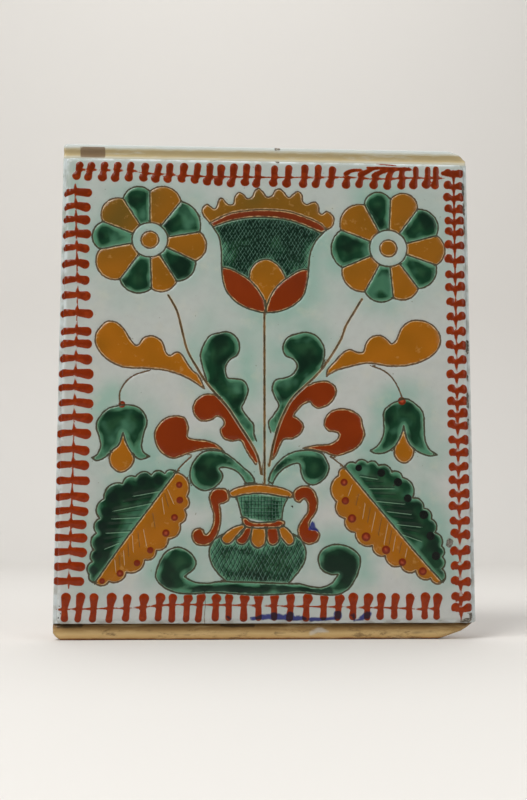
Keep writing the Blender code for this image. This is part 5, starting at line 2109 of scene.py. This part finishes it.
VASE = Vase(
    rim=[
        (-18.6, 62.2), (-17.2, 64), (-13, 65.7), (-5, 66.9), (4, 65.9), (9.5, 64.3), (12.3, 62.4),
        (11.4, 60.5), (8, 60.8), (0, 62.2), (-6, 62.4), (-12, 61.7), (-16.6, 60.6)],
    neck_sides=([(-14.9, 60.9), (-13.4, 55.6), (-12.2, 50.8)], [(10.2, 60.6), (8, 55.6), (7, 49.4)]),
    collar=[
        (-12.2, 50.8), (-12.2, 50.8), (-9.8, 50.4), (-7.6, 48.7), (-2, 48.3), (3.2, 48.7), (5.4, 49.6),
        (8.4, 48.9), (7.6, 46.6), (3, 45.8), (-4, 45.6), (-9.4, 46.1), (-11.6, 48)],
    shoulder_petals=(
        [(-11.6, 47.4), (-15.6, 46.3), (-19.4, 44), (-22, 40.8), (-20.2, 38.1), (-17.2, 38.7), (-14.4, 42),
         (-10.6, 46.2)],
        [(-10.2, 46.2), (-12.6, 42.4), (-14.9, 40), (-13.6, 38.1), (-11.2, 37.9), (-9.4, 39.6), (-7.8, 43),
         (-7.2, 46)],
        [(-7.2, 45.9), (-7.8, 41.6), (-7.4, 38.2), (-4.3, 36), (-1.2, 38), (-0.5, 42), (-0.9, 45.9)],
        [(-0.1, 45.9), (0, 41.6), (0.6, 38.6), (2.8, 37.3), (5.2, 38.6), (5.9, 41.4), (5, 45.8)],
        [(7.4, 46.8), (10.4, 45), (12.8, 41.6), (13, 38.8), (10.6, 37.4), (8.2, 39.4), (6.2, 42.4),
         (5.4, 45.8)],
    ),
    belly_sides=(
        [(-21.6, 42.6), (-25.8, 39.4), (-27.7, 35), (-27, 29.6), (-24.2, 24.8), (-19.4, 19.9)],
        [(12.6, 43), (16.6, 39.8), (18.9, 35), (18.2, 29.6), (15.4, 24.8), (10.8, 19.2)],
    ),
    handles=(
        [(-18.5, 61.2), (-19.8, 64.1), (-22.8, 64.8), (-26.3, 63.9), (-28.1, 60.6), (-27.1, 56.2),
         (-25.8, 51.6), (-26.4, 46.6), (-28.8, 42.7), (-30.2, 43), (-30.9, 44.7), (-33, 45.6),
         (-35.6, 44.2), (-36.2, 41.2), (-34.2, 38), (-30, 37.2), (-26.6, 38.6), (-23.8, 43), (-22.4, 49),
         (-22.6, 54.4), (-23, 57), (-20.6, 57.9), (-18.7, 59.2)],
        [(12.8, 62), (13.6, 64.2), (17.2, 66.1), (20.8, 65.5), (23.4, 62.8), (24.6, 58.4), (23.9, 53.8),
         (21.4, 49.8), (20.4, 47.2), (21.4, 45.3), (24, 44.8), (25.5, 42.4), (24.2, 39.2), (21, 37.9),
         (17.6, 38.8), (15.4, 42.2), (15.1, 45.8), (17, 49.6), (19.6, 53.4), (19.8, 57.2), (18.6, 59.8),
         (17.2, 59.4), (15.7, 58.1), (13.6, 59.2)],
    ),
    foot=[
        (10.8, 19), (16, 18.9), (21, 17.6), (26.2, 17.2), (31, 19), (34.5, 23.4), (34.5, 23.4),
        (30.6, 23.5), (26.6, 25.6), (24.8, 30.2), (26.2, 34.6), (30.2, 37.2), (35.6, 37.7), (41.2, 35.8),
        (44.9, 32.2), (45.1, 27.6), (42.9, 21.4), (39.2, 16.2), (34, 13.8), (26.6, 13.7), (16, 14.7),
        (6, 13.9), (-6, 13.6), (-16, 14.3), (-27, 14.8), (-36, 14.2), (-43.6, 14.9), (-49.6, 17.7),
        (-53.2, 22.2), (-51.8, 28.6), (-48.6, 34), (-43, 36.4), (-37.6, 34.4), (-34.2, 30), (-35, 26.1),
        (-39.6, 22.4), (-39.6, 22.4), (-34.4, 19.8), (-28, 19.3), (-19.6, 20)],
)
BORDERS = [
    CombedBorder(
        level=True,
        comb=[
            (-97, 225), (-70, 225), (-62, 223.6), (-45, 223), (-30, 222.5), (0, 222.8), (38, 223.5),
            (50, 223), (60, 223), (70, 223.8), (80, 224), (88, 223.9)],
        places=(-95.5, -90, -83.1, -76.6, -70, -62.6, -56.2, -50.2, -43.4, -36.5, -30,
                -24.4, -18.1, -11.6, -5.6, 2.7, 9.7, 18, 24.8, 31.9, 39.8, 46.6, 54, 60.8,
                68.2, 74.4, 81, 85.2),
        far_ends=[(-97, 229.4), (90, 229.8)],
        near_ends=[(-97, 219.5), (-45, 218.9), (-25, 217.4), (60, 217.5), (85, 218.1)],
        far_radius=1.95, near_radius=2.25, far_waist=1.6, near_waist=1.4, part=0.9,
        far_shift=0.3, near_shift=-0.8, barb=4.8, barb_radii=(0.95, 0.42),
        comb_radii=(0.14, 0.42), smeared=(37, 88), seed=3),
    CombedBorder(
        level=True,
        comb=[
            (-98, 6.9), (-85, 7.2), (-74, 7.5), (-60, 7.7), (-55, 8.4), (-45, 9.1), (-40, 9.3), (0, 8.6),
            (45, 7.7), (60, 7.5), (68, 7.2), (75, 6.7), (80, 7)],
        places=(-95.9, -89.1, -82.2, -74.4, -66.6, -58.8, -51.3, -45, -38.1, -32, -24.3,
                -18.1, -10.9, -3.9, 3.6, 11.5, 19.1, 27.5, 34.6, 41.7, 48.4, 55, 61.6, 68.8,
                76.3, 82.2),
        far_ends=[(-98, 14.7), (90, 14.7)], near_ends=[(-98, 0.6), (0, 1), (80, 1.6)],
        far_radius=2.3, near_radius=1.75, far_waist=1.5, near_waist=1.45, part=1,
        far_shift=0.3, near_shift=-0.3, barb=-4.8, barb_radii=(0.95, 0.42), seed=5),
    CombedBorder(
        level=False,
        comb=[
            (-94.3, 17), (-94, 75), (-94.3, 160), (-95.2, 180), (-96, 195), (-97.2, 217)],
        places=(213.1, 205.9, 198.9, 191.5, 184.4, 176.5, 168, 160, 151, 141.9, 135.7,
                128.3, 120.9, 113.8, 106.4, 99, 91.4, 83.3, 75.9, 68.1, 60.6, 53.8, 47.2,
                40.6, 34.1, 27.2, 20),
        far_ends=[
            (20, -87), (34, -85.7), (47, -86.2), (60, -85.3), (75, -86.5), (91, -86), (99, -85.2),
            (110, -84.6), (121, -85.5), (135, -86.6), (148, -86.3), (168, -88.3), (176, -88.8),
            (213, -88.6)],
        near_ends=[(20, -102.6), (213, -102.6)],
        far_radius=2.4, near_radius=1.95, far_waist=2, near_waist=1.6, part=1.8,
        far_shift=-0.1, near_shift=0.1, barb=4.8, waist_shift=0.3, comb_radii=(0.32, 0.32),
        seed=7),
    CombedBorder(
        level=False, comb=[(94, 4), (94, 120), (94.4, 228)],
        places=(226.2, 219.8, 213.7, 207.2, 201.2, 195.2, 188.4, 180.7, 173.1, 166.5, 158.6,
                151.2, 143.9, 136.5, 129.1, 121.8, 114.4, 108.1, 101.9, 96.2, 89.1, 82.7, 75.6,
                69.1, 62.5, 56.3, 49.1, 42.5, 34.4, 27.2, 19.7, 12.2, 6.9),
        far_ends=[(4, 99.8), (228, 99.8)], near_ends=[(4, 89), (228, 89)],
        far_radius=2.35, near_radius=2.3, far_waist=1.6, near_waist=1.5, part=1.9,
        far_shift=0.5, near_shift=0.5, barb=-5.6, waist_shift=-0.1, comb_radii=(0.34, 0.34),
        seed=9),
]
BRUSHED = Brushed((
    ([(39, 225.2), (42, 227), (47, 227.5)], 1.2, 0.6),
    ([(46.5, 224.8), (50, 226.7), (55, 228.6), (70, 228.6)], 1.5, 0.4),
    ([(53.5, 224.6), (57, 226.5), (61, 227.8), (66, 228.2)], 1.4, 0.6),
    ([(60.8, 223), (62, 226), (64, 228), (70, 228.3)], 1.6, 0.5),
    ([(67.5, 224), (68.5, 228), (72.5, 228.2)], 1.6, 0.6),
    ([(50, 228.9), (71.5, 228.6)], 0.5, 0.5), ([(55, 231.2), (65, 230.2)], 0.3, 0.3),
    ([(75, 224.6), (75, 228.6)], 1.3, 1.4), ([(81, 224.6), (81.1, 228.6)], 1.3, 1.4),
    ([(85.2, 224.6), (85.3, 228.9)], 1.3, 1.4), ([(88.8, 226.5), (99, 227.5)], 1.1, 1.1),
))


def main() -> None:
    """Build the tile and its studio, and report each piece."""
    logging.basicConfig(level=logging.INFO, format="%(name)s: %(message)s")
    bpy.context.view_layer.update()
    sizes = TileSizes.of_node("stove_tile")
    marks = Marks()
    for motif in (*ROSETTES, TULIP, SPRAY, *BELL_FLOWERS, *TOOTHED_LEAVES, VASE, *BORDERS, BRUSHED,
                  Wear()):
        motif.draw(marks)
    log.info("drawing: %d fields, %d lines, %d slip strokes",
             len(marks.fills), len(marks.lines), len(marks.slip))
    piece = TileBody(sizes, Painting(sizes, marks)).build()
    mesh = piece.data
    mesh.calc_loop_triangles()
    log.info("%s: %d triangles", piece.name, len(mesh.loop_triangles))
    Studio(sizes.low * MM).build()


if __name__ == "__main__":
    main()
